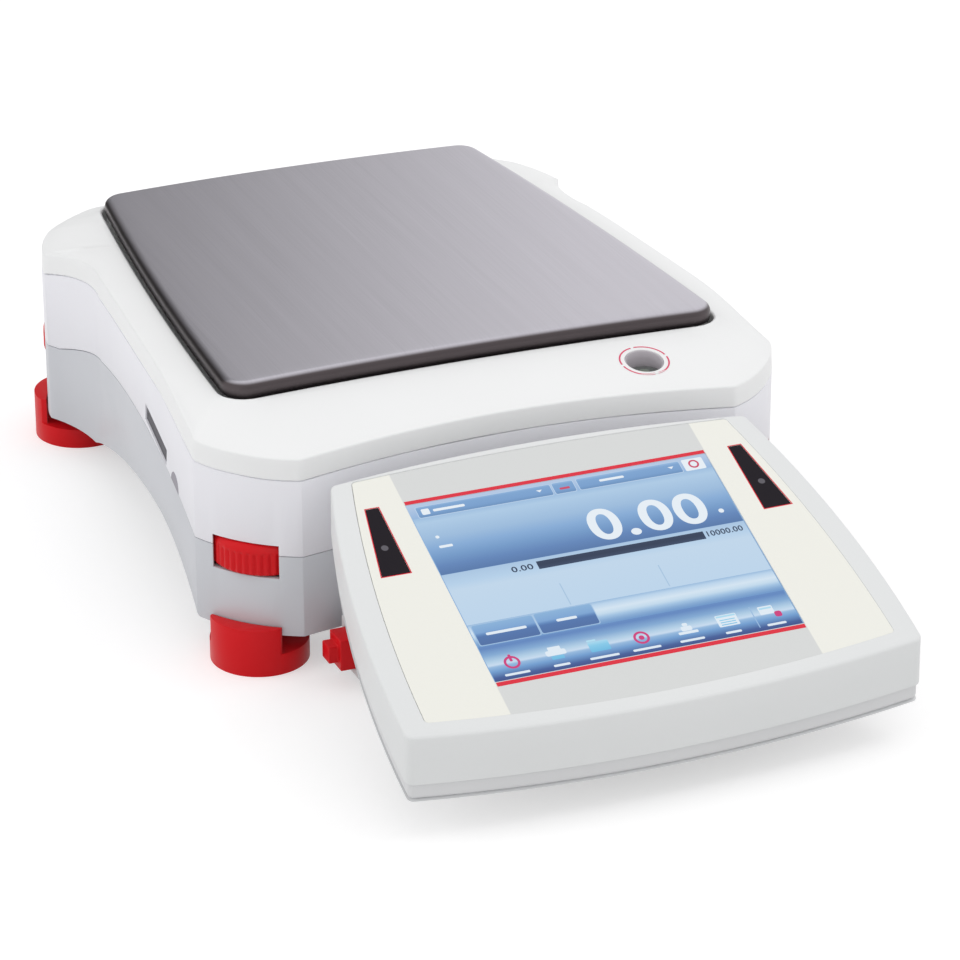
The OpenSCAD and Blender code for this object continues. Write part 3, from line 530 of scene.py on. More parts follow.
def softened(loop, reach, sharp=18):
    """Sharp corners become short curves that start and end a given reach from the corner."""
    count = len(loop)
    turns = []
    for i, p in enumerate(loop):
        back = p - loop[i - 1]
        ahead = loop[(i + 1) % count] - p
        turns.append(abs(back.angle_signed(ahead)) > math.radians(sharp))
    soft = []
    corners = [loop[i] for i in range(count) if turns[i]]
    for i, p in enumerate(loop):
        if turns[i]:
            a = p + (loop[i - 1] - p).normalized() * reach
            b = p + (loop[(i + 1) % count] - p).normalized() * reach
            for k in range(6):
                t = k / 5
                soft.append(a * (1 - t) ** 2 + p * 2 * t * (1 - t) + b * t * t)
        elif min([(p - c).length for c in corners], default=1) > reach * 1.05:
            soft.append(p)
    return soft


def drawn_in(loop, inset):
    """The loop moved inwards by an inset, or outwards by a negative one."""
    count = len(loop)
    moved = []
    for i, p in enumerate(loop):
        back = (p - loop[i - 1]).normalized()
        ahead = (loop[(i + 1) % count] - p).normalized()
        way = (back + ahead).normalized()
        side = Vector((-way.y, way.x))
        stretch = 1 / max(0.5, math.sqrt(max(0.0, (1 + back.dot(ahead)) / 2)))
        moved.append(p + side * inset * stretch)
    return moved


def seen_from(centre, toward, loop):
    """Where a ray from a centre through a point crosses a loop."""
    way = (toward - centre).normalized()
    best = None
    for i, q in enumerate(loop):
        p = loop[i - 1]
        edge = q - p
        cross = way.x * edge.y - way.y * edge.x
        if abs(cross) < 1e-12:
            continue
        gap = p - centre
        far = (gap.x * edge.y - gap.y * edge.x) / cross
        along = (gap.x * way.y - gap.y * way.x) / cross
        if far > 0 and -1e-6 <= along <= 1 + 1e-6:
            best = far if best is None else max(best, far)
    return centre + way * best


up = (0, 0, 1)
wall_cut = (0, 0, 0.070)
recess_cut = (0, 0, 0.0885)
pan_cut = (0, 0, 0.0945)
corner_reach = 0.0014
housing_line = softened(flat_loop(section("upper_housing", wall_cut, up), 0.004), corner_reach)
recess_line = flat_loop(section("top_cover", recess_cut, up, 2), 0.004)
pan_line = flat_loop(section("pan", pan_cut, up), 0.006)
print("points:", len(housing_line), len(recess_line), len(pan_line))

# %% [markdown]
# ## Helpers for skins
# Most mouldings here are skins over a row of rings. By hand one would add a circle, push its
# points onto the first outline, and extrude the edges from ring to ring. The helper does just
# that: every point carries the number of its seat, an extruded point inherits it, and so each
# new ring can be put into place.

# %% Skin over rings


def skin(name, rings, joined=False):
    """A closed skin over rings of points. Its ends are capped, or joined to each other."""
    deselect()
    bpy.ops.mesh.primitive_circle_add(vertices=len(rings[0]), radius=0.01)
    piece = bpy.context.object
    piece.name = name
    bpy.ops.object.mode_set(mode="EDIT")
    mesh = bmesh.from_edit_mesh(piece.data)
    seat = mesh.verts.layers.int.new("seat")
    mesh.verts.layers.int.new("level")
    mesh.verts.ensure_lookup_table()
    for i, v in enumerate(mesh.verts):
        v[seat] = i
        v.co = rings[0][i]
    bpy.ops.mesh.select_mode(type="VERT")
    bpy.ops.mesh.select_all(action="SELECT")
    way = rings[1:] + ([rings[0]] if joined else [])
    for number, ring in enumerate(way):
        bpy.ops.mesh.extrude_edges_indiv()
        mesh = bmesh.from_edit_mesh(piece.data)
        seat = mesh.verts.layers.int["seat"]
        level = mesh.verts.layers.int["level"]
        for v in mesh.verts:
            if v.select:
                v.co = ring[v[seat]]
                v[level] = number + 1
    if not joined:
        for wanted in (0, len(rings) - 1):
            bpy.ops.mesh.select_all(action="DESELECT")
            mesh = bmesh.from_edit_mesh(piece.data)
            level = mesh.verts.layers.int["level"]
            for v in mesh.verts:
                v.select = v[level] == wanted
            mesh.select_flush_mode()
            bpy.ops.mesh.edge_face_add()
    bpy.ops.mesh.select_all(action="SELECT")
    if joined:
        bpy.ops.mesh.remove_doubles(threshold=1e-6)
    bpy.ops.mesh.normals_make_consistent(inside=False)
    bpy.ops.object.mode_set(mode="OBJECT")
    return piece


crease = math.radians(32)


def dress(piece, name, body, slot, material, *stands_for):
    """Smooth and name a finished piece, give it its finish, and let it ride on a body."""
    only(piece)
    bpy.ops.object.shade_smooth_by_angle(angle=crease)
    piece.name = name
    piece.data.name = name
    piece.data.materials.clear()
    piece.data.materials.append(material)
    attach(piece, body)
    if stands_for:
        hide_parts(*stands_for)
    print(name, "faces:", len(piece.data.polygons))


def quarter(radius, parts):
    """Steps of a rounded edge: how far in, and how far below the top."""
    steps = []
    for k in range(parts + 1):
        a = math.pi / 2 * k / parts
        steps.append((radius * (1 - math.cos(a)), radius * (1 - math.sin(a))))
    return steps


def raised(loop, heights):
    """A flat loop with a height for each point, or one for all."""
    if isinstance(heights, float):
        heights = [heights] * len(loop)
    return [Vector((p.x, p.y, z)) for p, z in zip(loop, heights)]


def together(pieces):
    """Join pieces into the first one."""
    only(pieces[0])
    for piece in pieces[1:]:
        piece.select_set(True)
    if len(pieces) > 1:
        bpy.ops.object.join()
    return pieces[0]


def round_ring(centre, radius, height, count=64):
    """A level circle of points."""
    angles = [2 * math.pi * k / count for k in range(count)]
    return [Vector((centre.x + radius * math.cos(a), centre.y + radius * math.sin(a), height))
            for a in angles]


def turned(name, centre, steps, joined=False, count=64):
    """A skin over level circles about a centre, from (radius, height) steps."""
    return skin(name, [round_ring(centre, r, z, count) for r, z in steps], joined)


def tube(inner, outer, low, high):
    """The steps of a square tube."""
    return [(inner, low), (outer, low), (outer, high), (inner, high)]


print("skin helpers ready")

# %% [markdown]
# ## Weighing pan
# The pan is one drawn sheet of steel: a flat top that folds down into a deep rim. The solid
# has the same plate with a square edge. Here the outline is skinned from the underside, round
# the lower lip, up the slightly bellied rim and over the fold. The steel is painted darker over the
# fold and the rim, a painted dark reflection and shade, so that only a thin line of light runs
# along the edge of the flat.

# %% Pan
pan_low, pan_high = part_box("pan")
rim_in = 0.1 * mm
skirt_in = 1.3 * mm
under = pan_high.z - 1 * mm
steps = [(9 * mm, under)]
steps += [(skirt_in + inward, under - below) for inward, below in reversed(quarter(4 * mm, 6))]
steps += [(skirt_in, pan_low.z + 0.2 * mm), (1.0 * mm, pan_low.z), (0.7 * mm, pan_low.z),
          (0.4 * mm, pan_low.z + 0.3 * mm), (rim_in, pan_low.z + 2 * mm)]
steps += [(rim_in + inward, pan_high.z - below) for inward, below in quarter(3.2 * mm, 8)]
steps += [(8 * mm, pan_high.z)]
pan_piece = skin("pan_sheet", [raised(drawn_in(pan_line, inset), z) for inset, z in steps])
dress(pan_piece, "pan_sheet", "pan", "pan_steel", pan_steel, "pan")

# %% [markdown]
# ## Top cover
# The deck is a gently crowned moulding with a recess for the pan. The solid has flat facets
# there, so its height is read by casting rays down onto it, and the rings between the outer
# edge and the recess are then smoothed in height only. The outer edge is nearly crisp, the
# recess lip is round, and the band below ends at the thin parting line.

# %% Deck heights
cover_mesh = nodes["top_cover"].data
cover_tree = BVHTree.FromPolygons([v.co for v in cover_mesh.vertices],
                                  [p.vertices for p in cover_mesh.polygons])
middle = Vector((0, 0.070))
level_at = Vector((0.0585, -0.041))
well_guard = 11 * mm
sky = 0.2


def height_on(surface, x, y):
    """Height where a ray from high above meets a surface."""
    return surface.ray_cast(Vector((x, y, sky)), Vector((0, 0, -1)))[0].z


def deck_height(p):
    """Height of the solid deck at a point, looked up a little towards the middle.
    Over the well of the level it is looked up just left of the well."""
    q = p + (middle - p).normalized() * 0.15 * mm
    if (q - level_at).length < well_guard:
        q = Vector((level_at.x - well_guard - 0.5 * mm, q.y))
    return height_on(cover_tree, q.x, q.y)


def eased(heights, passes):
    """Heights round a loop, smoothed against their neighbours."""
    for _ in range(passes):
        count = len(heights)
        heights = [heights[i - 1] * 0.25 + heights[i] * 0.5 + heights[(i + 1) % count] * 0.25
                   for i in range(count)]
    return heights


edge_z = eased([deck_height(p) for p in housing_line], 10)
lip_round = 1.0 * mm
wall_outline = drawn_in(recess_line, 0.9 * mm)
lip_outline = drawn_in(wall_outline, -lip_round)
lip_line = [seen_from(middle, p, lip_outline) for p in housing_line]
wall_line = [seen_from(middle, p, wall_outline) for p in housing_line]
lip_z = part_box("top_cover")[1].z
tray_z = 0.086
print("edge heights in mm:", round(min(edge_z) / mm, 2), round(max(edge_z) / mm, 2))

# %% Cover skin
edge_in = 0.35 * mm
edge_round = 0.9 * mm
band_drop = 8.4 * mm
floor_thick = 2.4 * mm
hole = Vector((0, 0.078))
hole_r = 10 * mm


def under_edge(inset, drop):
    """The outline drawn in by an inset, a drop below the edge of the deck."""
    return raised(drawn_in(housing_line, inset), [z - drop for z in edge_z])


def towards_hole(share):
    """The outline of the recess, moved by a share towards the round hole in its floor."""
    moved = []
    for p in wall_line:
        way = p - hole
        moved.append(hole + way.normalized() * (way.length * (1 - share) + hole_r * share))
    return moved


rings = [under_edge(2.2 * mm, band_drop), under_edge(edge_in, band_drop),
         under_edge(0.0, 8.1 * mm), under_edge(0.2 * mm, 4 * mm)]
rings += [under_edge(edge_in + inward, below) for inward, below in quarter(edge_round, 4)]
deck_edge = drawn_in(housing_line, edge_in + edge_round)
first_deck = len(rings)
for share in (0.06, 0.14, 0.25, 0.38, 0.52, 0.66, 0.80, 0.92):
    line = [a.lerp(b, share) for a, b in zip(deck_edge, lip_line)]
    rings.append(raised(line, [deck_height(p) for p in line]))
last_deck = len(rings) - 1
for inward, below in reversed(quarter(lip_round, 4)):
    line = [b.lerp(a, inward / lip_round) for a, b in zip(lip_line, wall_line)]
    rings.append(raised(line, lip_z - below))
rings += [raised(wall_line, tray_z + 1 * mm), raised(drawn_in(wall_line, 1 * mm), tray_z)]
rings += [raised(towards_hole(share), tray_z) for share in (0.35, 0.7, 1)]
back_line = drawn_in(wall_line, -floor_thick)
rings += [raised(towards_hole(1), tray_z - floor_thick), raised(back_line, tray_z - floor_thick),
          raised(back_line, lip_z - 4 * mm), under_edge(3 * mm, 3.5 * mm)]
cover = skin("deck_cover", rings, joined=True)
only(cover)
bpy.ops.object.mode_set(mode="EDIT")
mesh = bmesh.from_edit_mesh(cover.data)
level = mesh.verts.layers.int["level"]
for v in mesh.verts:
    v.select = first_deck <= v[level] <= last_deck
mesh.select_flush_mode()
bpy.ops.mesh.vertices_smooth(factor=0.5, repeat=14, xaxis=False, yaxis=False, zaxis=True)
bpy.ops.object.mode_set(mode="OBJECT")
print("deck rings:", last_deck - first_deck + 1)

# %% Hole and collar of the level
level_top = deck_height(level_at)
well_r = 7.3 * mm
drill = turned("drill", level_at, [(well_r, level_top - 12 * mm), (well_r, level_top + 8 * mm)])
only(cover)
cut = cover.modifiers.new("cut", "BOOLEAN")
cut.operation = "DIFFERENCE"
cut.solver = "MANIFOLD"
cut.object = drill
bpy.ops.object.modifier_apply(modifier=cut.name)
bpy.data.objects.remove(drill)
collar_steps = tube(well_r, well_r + 2 * mm, level_top - 3.2 * mm, level_top - 1.5 * mm)
collar = turned("collar", level_at, collar_steps, joined=True)
dress(together([cover, collar]), "deck_cover", "base", "white_plastic", white_cover, "top_cover")

# %% [markdown]
# ## Housing shells
# The white wall shell and the grey lower shell keep the shapes of their solids: slots, arch,
# lips and bosses are already right. What the solids lack is the softness of a moulding. Each
# is copied, merged, cleared of needless edges, its upright corners get a wide bevel, and a
# bevel modifier takes the bite off the remaining edges.

# %% Moulded copies
flat_angle = math.radians(0.4)
corner_bevel = 2.4 * mm


def soft_edges(piece, width, segments=2):
    """Bevel every edge that turns by more than 40 degrees."""
    soft = piece.modifiers.new("soft_edges", "BEVEL")
    soft.width = width
    soft.segments = segments
    soft.limit_method = "ANGLE"
    soft.angle_limit = math.radians(40)
    bpy.ops.object.modifier_apply(modifier=soft.name)


def moulded_copy(node, width, segments=2, upright=0.0):
    """A copy of a solid with softened edges, and a wider bevel on its upright outer corners."""
    copy = merged_copy(node)
    bpy.ops.mesh.dissolve_limited(angle_limit=flat_angle)
    if upright:
        bpy.ops.mesh.select_all(action="DESELECT")
        bpy.ops.mesh.select_mode(type="EDGE")
        mesh = bmesh.from_edit_mesh(copy.data)
        for edge in mesh.edges:
            a, b = edge.verts
            span = b.co - a.co
            tall = abs(span.z) > 12 * mm and abs(span.z) > span.length * 0.999
            sharp = edge.calc_face_angle_signed(0) > math.radians(20)
            mid = (a.co + b.co) / 2
            outside = abs(mid.x) > 78 * mm and (mid.y < -30 * mm or mid.y > 150 * mm)
            edge.select = tall and sharp and outside
        print(node, "upright corners to bevel:", len([e for e in mesh.edges if e.select]))
        bpy.ops.mesh.bevel(offset=upright, segments=4, affect="EDGES", clamp_overlap=True)
    bpy.ops.object.mode_set(mode="OBJECT")
    soft_edges(copy, width, segments)
    return copy


wall_shell = moulded_copy("upper_housing", 0.35 * mm, upright=corner_bevel)
dress(wall_shell, "wall_shell", "base", "white_plastic", white_wall, "upper_housing")
base_shell = moulded_copy("lower_housing", 0.6 * mm, upright=corner_bevel)
dress(base_shell, "base_shell", "base", "grey_paint", grey_base, "lower_housing")

# %% [markdown]
# Just above the seam, near the front of each side, the wall has a shallow half-round notch to pry
# the shells apart. The notch is not cut: a thin half-round plate that leans with the seam stands in
# for it. It is grey like the notch's floor, and painted darker still as the shade in its hollow.

# %% Pry notches
notch_r = 5.4 * mm
notch_lean = math.radians(12)
# Grey painted darker than the lower shell: painted shade for the hollow of the notch.
notch_shade_grey = plastic("notch_shade_grey", (152, 149, 158), 0.5, 900, 0.06)


def pry_notch(side):
    """A half-round plate on the right wall, or on the left one for a side of -1."""
    middle_point = Vector((side * 0.11206, -0.0052, 0.0536))
    wall_way = Vector((side * -0.0814, 0.9967, 0))
    wall_out = Vector((side * 0.9967, 0.0814, 0))
    along = wall_way * math.cos(notch_lean) + Vector((0, 0, math.sin(notch_lean)))
    upward = Vector((0, 0, math.cos(notch_lean))) - wall_way * math.sin(notch_lean)
    angles = [math.pi * k / 16 for k in range(17)]
    half_round = [(along * math.cos(a) + upward * math.sin(a)) * notch_r for a in angles]
    return skin("notch", [[middle_point + wall_out * out + p for p in half_round]
                          for out in (-0.3 * mm, 0.06 * mm)])


notches = together([pry_notch(1), pry_notch(-1)])
dress(notches, "pry_notches", "base", "grey_paint", notch_shade_grey)

# %% [markdown]
# ## Feet, wheels and latches
# All the red pieces are there to be touched. A foot is a round shoe whose wall rises in front
# of the corner; its edges are well rounded. A thumbwheel has shallow ribs that run out below a
# smooth shoulder, so it is skinned from the bore outwards, with ribs only on some rings.
# One wheel is modelled and copied to the four corners.

# %% Feet
corners = ("front_left", "front_right", "rear_left", "rear_right")
for corner in corners:
    shoe = moulded_copy("foot_" + corner, 1.0 * mm, 3)
    dress(shoe, "shoe_" + corner, "foot_" + corner, "red_plastic", red_plastic, "foot_" + corner)

# %% Thumbwheels
ribs = 46
wheel_low, wheel_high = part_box("wheel_front_left")
top = wheel_high.z
rim_low = top - 12 * mm


def ribbed_ring(radius, height, depth):
    """A circle of points about the axis, with ribs of a given depth."""
    count = ribs * 6
    points = []
    for k in range(count):
        a = 2 * math.pi * k / count
        dip = depth * (0.5 - 0.5 * math.cos(a * ribs)) ** 1.5
        points.append(Vector(((radius - dip) * math.cos(a), (radius - dip) * math.sin(a), height)))
    return points


profile = [(4.05, wheel_low.z, 0), (7.7, wheel_low.z, 0), (8.0, wheel_low.z + 0.3 * mm, 0),
           (8.0, rim_low, 0), (18.4, rim_low, 0), (19.6, rim_low + 0.3 * mm, 0.1),
           (20.2, rim_low + 0.9 * mm, 0.5), (20.35, rim_low + 1.6 * mm, 0.6),
           (20.35, top - 4.2 * mm, 0.6), (20.3, top - 3.4 * mm, 0.35), (20.25, top - 2.9 * mm, 0),
           (19.9, top - 1.5 * mm, 0), (19.2, top - 0.5 * mm, 0), (18.2, top, 0), (4.05, top, 0)]
rings = [ribbed_ring(r * mm, z, d * mm) for r, z, d in profile]
pattern = skin("wheel_pattern", rings, joined=True)
for corner in corners:
    low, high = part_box("wheel_" + corner)
    only(pattern)
    bpy.ops.object.duplicate()
    wheel = bpy.context.object
    wheel.location = ((low.x + high.x) / 2, (low.y + high.y) / 2, 0)
    bpy.ops.object.transform_apply(location=True, rotation=True, scale=True)
    dress(wheel, "ribbed_wheel_" + corner, "wheel_" + corner, "red_plastic", red_plastic,
          "wheel_" + corner)
bpy.data.objects.remove(pattern)

# %% Latches
for side in ("left", "right"):
    button = moulded_copy("latch_" + side, 0.5 * mm, 3)
    dress(button, "button_" + side, "latch_" + side, "red_plastic", red_plastic, "latch_" + side)

# %% [markdown]
# ## Terminal
# The terminal is a wedge: its plan is upright, and its face slopes. Heights are therefore
# measured down from the sloping face. The upper shell runs from its lower edge up the wall,
# over a round edge, across the rim and into the shallow bed of the faceplate. The tray below
# has a round bottom edge, and the stand under it keeps the shape of its solid.

# %% Sloping face
tilt = math.radians(20.5)
screen_y = -0.1361
screen_z = 0.060
screen_at = Vector((0, screen_y, screen_z))
face_up = Vector((0, -math.sin(tilt), math.cos(tilt)))


def face_z(y):
    """Height of the sloping face over a line across the terminal."""
    return screen_at.z + math.tan(tilt) * (y - screen_at.y)


def below_face(loop, drop, inset=0.0):
    """A plan loop, drawn in by an inset, at a given drop under the sloping face."""
    return [Vector((p.x, p.y, face_z(p.y) - drop)) for p in drawn_in(loop, inset)]


shell_cut = (0, screen_y, screen_z - 9 * mm)
plate_cut = screen_at - face_up * 0.7 * mm
shell_line = flat_loop(section("terminal_upper_shell", shell_cut, face_up), 0.005)
plate_line = flat_loop(section("faceplate", plate_cut, face_up), 0.004)
term_middle = Vector((0, -0.137))
bed_outline = drawn_in(plate_line, -0.12 * mm)


def round_trip(centre, *loops):
    """Directions of all points of some loops about a centre, in order, without doubles."""
    turns = sorted(math.atan2(p.y - centre.y, p.x - centre.x) for loop in loops for p in loop)
    kept = [turns[0]]
    for a in turns[1:]:
        if a - kept[-1] > math.radians(0.06):
            kept.append(a)
    return [centre + Vector((math.cos(a), math.sin(a))) for a in kept]


ways = round_trip(term_middle, shell_line, bed_outline)
shell_line = [seen_from(term_middle, p, shell_line) for p in ways]
bed_line = [seen_from(term_middle, p, bed_outline) for p in ways]
print("points round the terminal:", len(shell_line))

# %% Terminal upper shell
wall_steps = ((2.6, 4), (2.6, 18), (0.4, 18), (0.0, 17.6), (0.05, 9))
bed_steps = ((-0.15, 0.0), (0.0, 0.15), (0.0, 1.55), (5, 1.55))
rings = [below_face(shell_line, drop * mm, inset * mm) for inset, drop in wall_steps]
rings += [below_face(shell_line, below, 0.1 * mm + inward)
          for inward, below in quarter(0.9 * mm, 4)]
rim_line = drawn_in(shell_line, 1.0 * mm)
for share in (0.3, 0.65):
    rings.append(below_face([a.lerp(b, share) for a, b in zip(rim_line, bed_line)], 0.0))
rings += [below_face(bed_line, drop * mm, inset * mm) for inset, drop in bed_steps]
upper_shell = skin("terminal_case", rings)
dress(upper_shell, "terminal_case", "terminal", "terminal_white", terminal_white,
      "terminal_upper_shell")

# %% Terminal tray and stand
tray_line = drawn_in(shell_line, 0.9 * mm)
tray_drop = 24.5 * mm
tray_steps = ((2.0, 18.05), (0.3, 18.05), (0.0, 18.35))
rings = [below_face(tray_line, drop * mm, inset * mm) for inset, drop in tray_steps]
rings += [below_face(tray_line, tray_drop - below, inward)
          for inward, below in quarter(2.2 * mm, 5)]
rings.append(below_face(tray_line, tray_drop, 6 * mm))
tray = skin("terminal_tray", rings)
stand = merged_copy("terminal_lower_shell")
stand_cut = (0, screen_y, screen_z - 24.6 * mm)
bpy.ops.mesh.bisect(plane_co=stand_cut, plane_no=face_up, clear_outer=True)
bpy.ops.mesh.select_all(action="SELECT")
bpy.ops.mesh.dissolve_limited(angle_limit=flat_angle)
bpy.ops.object.mode_set(mode="OBJECT")
soft_edges(stand, 0.6 * mm)
dress(together([tray, stand]), "terminal_tray", "terminal", "terminal_grey", terminal_grey,
      "terminal_lower_shell")

# %% [markdown]
# ## Faceplate
# The faceplate is a printed film: warm white at the sides and pale grey in the middle, with
# a thin red line above and below the screen and a red outline round each sensor window.
# The zones are part of the finish, read from Object coordinates; the lines are thin pieces.

# %% Faceplate finish
plate_film, tree, shader, place = new_material("plate_film")
film = use_group(tree, moulded, {"Vector": place, "Grain": 1400})
parts = add_node(tree, "ShaderNodeSeparateXYZ", {0: place})
from_middle = maths(tree, "ABSOLUTE", parts.outputs["X"])
zone = add_node(tree, "ShaderNodeMapRange",
                {"Value": from_middle, "From Min": 57.7 * mm, "From Max": 58.1 * mm})
feed(tree, shader, {
    "Base Color": mixed(tree, zone.outputs["Result"], linear(214, 216, 215), linear(238, 238, 230)),
    "Roughness": spread(tree, film["Cloud"], 0.30, 0.42),
    "Normal": relief(tree, film["Height"], 0.04, 0.2 * mm)})
red_print = plastic("red_print", (222, 28, 54), 0.4, 1500, 0.02)
print("faceplate finish made")

# %% Helper for flat pieces on the sloping face


def on_face(piece):
    """Turn a flat piece onto the sloping face and apply its place."""
    only(piece)
    piece.rotation_euler = (tilt, 0, 0)
    piece.location = screen_at
    bpy.ops.object.transform_apply(location=True, rotation=True, scale=True)
    return piece


def tile(left, low, right, high, lift, corner=0.0, thick=0.03):
    """A thin plate with rounded corners on the face, in mm from the screen's middle."""
    deselect()
    bpy.ops.mesh.primitive_plane_add(size=1)
    piece = bpy.context.object
    bpy.ops.object.mode_set(mode="EDIT")
    bpy.ops.mesh.select_all(action="SELECT")
    bpy.ops.transform.resize(value=((right - left) * mm, (high - low) * mm, 1))
    if corner:
        bpy.ops.mesh.bevel(offset=corner * mm, segments=4, affect="VERTICES")
        bpy.ops.mesh.select_all(action="SELECT")
    bpy.ops.mesh.extrude_region_move(TRANSFORM_OT_translate={"value": (0, 0, thick * mm)})
    bpy.ops.mesh.select_all(action="SELECT")
    bpy.ops.transform.translate(value=((left + right) / 2 * mm, (low + high) / 2 * mm, lift * mm))
    bpy.ops.mesh.normals_make_consistent(inside=False)
    bpy.ops.object.mode_set(mode="OBJECT")
    return piece


def show(pieces, name, slot, finish):
    """Join flat pieces, lay them on the face and dress them as part of the terminal."""
    dress(on_face(together(pieces)), name, "terminal", slot, finish)


red_lines = [tile(-57.6, 43.25, 57.6, 44.9, 0.0), tile(-57.6, -45.5, 57.6, -43.7, 0.0)]
show(red_lines, "screen_red_lines", "plate", red_print)

# %% Sensor outlines
window = [(67.5, 12.2), (77.7, 12.3), (72.0, 44.2), (67.5, 44.2)]


def frame_strip(points, width, lift):
    """A thin closed strip of a given width just outside a polygon on the face."""
    loop = flat_loop([Vector((u * mm, s * mm, 0)) for u, s in points], 1.0)
    inner = drawn_in(loop, -0.2 * mm)
    outer = drawn_in(loop, -(0.2 + width) * mm)
    low = lift * mm
    high = (lift + 0.04) * mm
    rings = [raised(inner, low), raised(outer, low), raised(outer, high), raised(inner, high)]
    return skin("strip", rings, joined=True)


strips = [frame_strip(window, 0.35, 0.0), frame_strip([(-u, s) for u, s in window], 0.35, 0.0)]
show(strips, "sensor_outlines", "plate", red_print)

# %% [markdown]
# ## Screen
# The lit screen is what draws the eye. A plain reading, bare buttons and simple marks stand in
# for a menu: no words. The glass itself carries the background glow, and each panel, button
# and mark is a thin plate just over it with its own glow that shades from top to bottom.
# A Mapping node turns Object coordinates into places on the face, so the shading follows it.

# %% Glow finishes


def glow_finish(name, top, bottom, stops):
    """A lit surface whose colour changes from top to bottom, in mm from the screen's middle."""
    material, tree, shader, place = new_material(name)
    turn = tree.nodes.new("ShaderNodeMapping")
    turn.vector_type = "TEXTURE"
    feed(tree, turn, {"Vector": place, "Location": screen_at, "Rotation": (tilt, 0, 0)})
    share = share_along(tree, turn.outputs["Vector"], "Y", top * mm, bottom * mm)
    dust = use_group(tree, dusty, {"Vector": place})["Dust"]
    feed(tree, shader, {
        "Emission Color": colour_ramp(tree, share, [(at, linear(*rgb)) for at, rgb in stops]),
        "Emission Strength": 0.92,
        "Base Color": grey(0.02),
        "Specular IOR Level": 0.08,
        "Roughness": spread(tree, dust, 0.22, 0.34)})
    return material


glass_glow = glow_finish("glass_glow", 43.2, -43.2, [
    (0, (186, 206, 233)), (0.1, (140, 180, 224)), (1, (120, 168, 218))])
reading_glow = glow_finish("reading_glow", 36.2, 8.4, [
    (0, (160, 194, 228)), (0.09, (176, 206, 234)), (0.36, (158, 191, 225)), (0.53, (135, 174, 218)),
    (0.69, (115, 156, 204)), (0.85, (96, 134, 188)), (1, (84, 120, 172))])
pale_glow = glow_finish("pale_glow", 8.4, -16, [
    (0, (172, 201, 230)), (0.2, (184, 212, 238)), (0.33, (196, 219, 240)), (1, (192, 217, 240))])
gloss_glow = glow_finish("gloss_glow", -16, -26.4, [
    (0, (150, 186, 222)), (0.15, (188, 215, 240)), (0.4, (216, 233, 247)), (0.58, (199, 223, 242)),
    (0.72, (163, 198, 231)), (0.87, (133, 172, 215)), (1, (112, 155, 206))])
bar_glow = glow_finish("bar_glow", -26.6, -43.2, [
    (0, (100, 140, 197)), (0.08, (96, 136, 195)), (0.27, (131, 172, 215)), (0.45, (181, 211, 235)),
    (0.55, (204, 224, 244)), (0.60, (150, 188, 226)), (0.72, (113, 160, 212)), (0.90, (64, 94, 156)),
    (1, (56, 76, 136))])
button_glow = glow_finish("button_glow", -16.6, -26.2, [
    (0, (140, 182, 222)), (0.4, (126, 168, 216)), (0.52, (94, 136, 192)), (0.6, (80, 118, 176)),
    (1, (76, 110, 166))])
title_glow = glow_finish("title_glow", 41.6, 36.2, [
    (0, (150, 186, 226)), (0.2, (126, 167, 213)), (0.7, (120, 161, 209)), (1, (105, 145, 191))])
edge_glow = glow_finish("edge_glow", 42, -26.6, [(0, (190, 213, 238)), (1, (160, 194, 228))])
mark_glow = glow_finish("mark_glow", 43, -43, [
    (0, (236, 244, 251)), (0.5, (234, 243, 251)), (1, (228, 240, 250))])
ink_glow = glow_finish("ink_glow", 8, 2, [
    (0, (46, 62, 92)), (0.5, (40, 56, 84)), (1, (58, 76, 108))])
faint_glow = glow_finish("faint_glow", 8, -42, [
    (0, (168, 198, 226)), (0.5, (170, 200, 228)), (1, (150, 186, 226))])
rose_glow = glow_finish("rose_glow", 43, -43, [(0, (208, 74, 104)), (1, (210, 58, 128))])
cyan_glow = glow_finish("cyan_glow", -32, -39, [
    (0, (200, 236, 250)), (0.5, (136, 206, 238)), (1, (104, 186, 228))])
print("glow finishes made")

# %% Panels of the screen
glass = -0.3
titles = [(-54.7, 36.3, -4.0, 41.4), (-3.0, 36.3, 4.8, 41.6), (6.4, 36.3, 46.2, 41.7)]
keys = [(-56.2, -26.2, -34.0, -16.9), (-33.2, -26.0, -12.0, -16.7)]


def edged(areas, grow):
    """The same areas, a little larger on all sides."""
    return [(a - grow, b - grow, c + grow, d + grow) for a, b, c, d in areas]


panels = [("reading_panel", [tile(-57.4, 8.4, 57.4, 36.2, glass + 0.02)], reading_glow),
          ("pale_panel", [tile(-57.4, -16.2, 57.4, 8.3, glass + 0.02)], pale_glow),
          ("gloss_band", [tile(-57.4, -26.6, 57.4, -16.3, glass + 0.02)], gloss_glow),
          ("icon_bar", [tile(-57.4, -43.1, 57.4, -26.7, glass + 0.02)], bar_glow),
          ("button_edges", [tile(*a, glass + 0.06, 0.8)
                            for a in edged(titles, 0.3) + edged(keys, 0.35)], edge_glow),
          ("help_button", [tile(47.4, 36.3, 55.4, 42.0, glass + 0.06, 0.6)], mark_glow),
          ("soft_buttons", [tile(*a, glass + 0.10, 0.8) for a in keys], button_glow),
          ("title_buttons", [tile(*a, glass + 0.10, 0.6) for a in titles], title_glow),
          ("capacity_bar", [tile(-22.8, 3.1, 40.8, 6.8, glass + 0.06)], ink_glow),
          ("thin_rules", [tile(-18.8, -15.4, -18.4, -5.0, glass + 0.06),
                          tile(18.5, -15.4, 18.9, -5.0, glass + 0.06),
                          tile(41.6, -41.5, 42.0, -31.5, glass + 0.06)], faint_glow)]
for name, tiles, finish in panels:
    show(tiles, name, "screen_glass", finish)

# %% Reading and scale figures
figure_share = 0.70


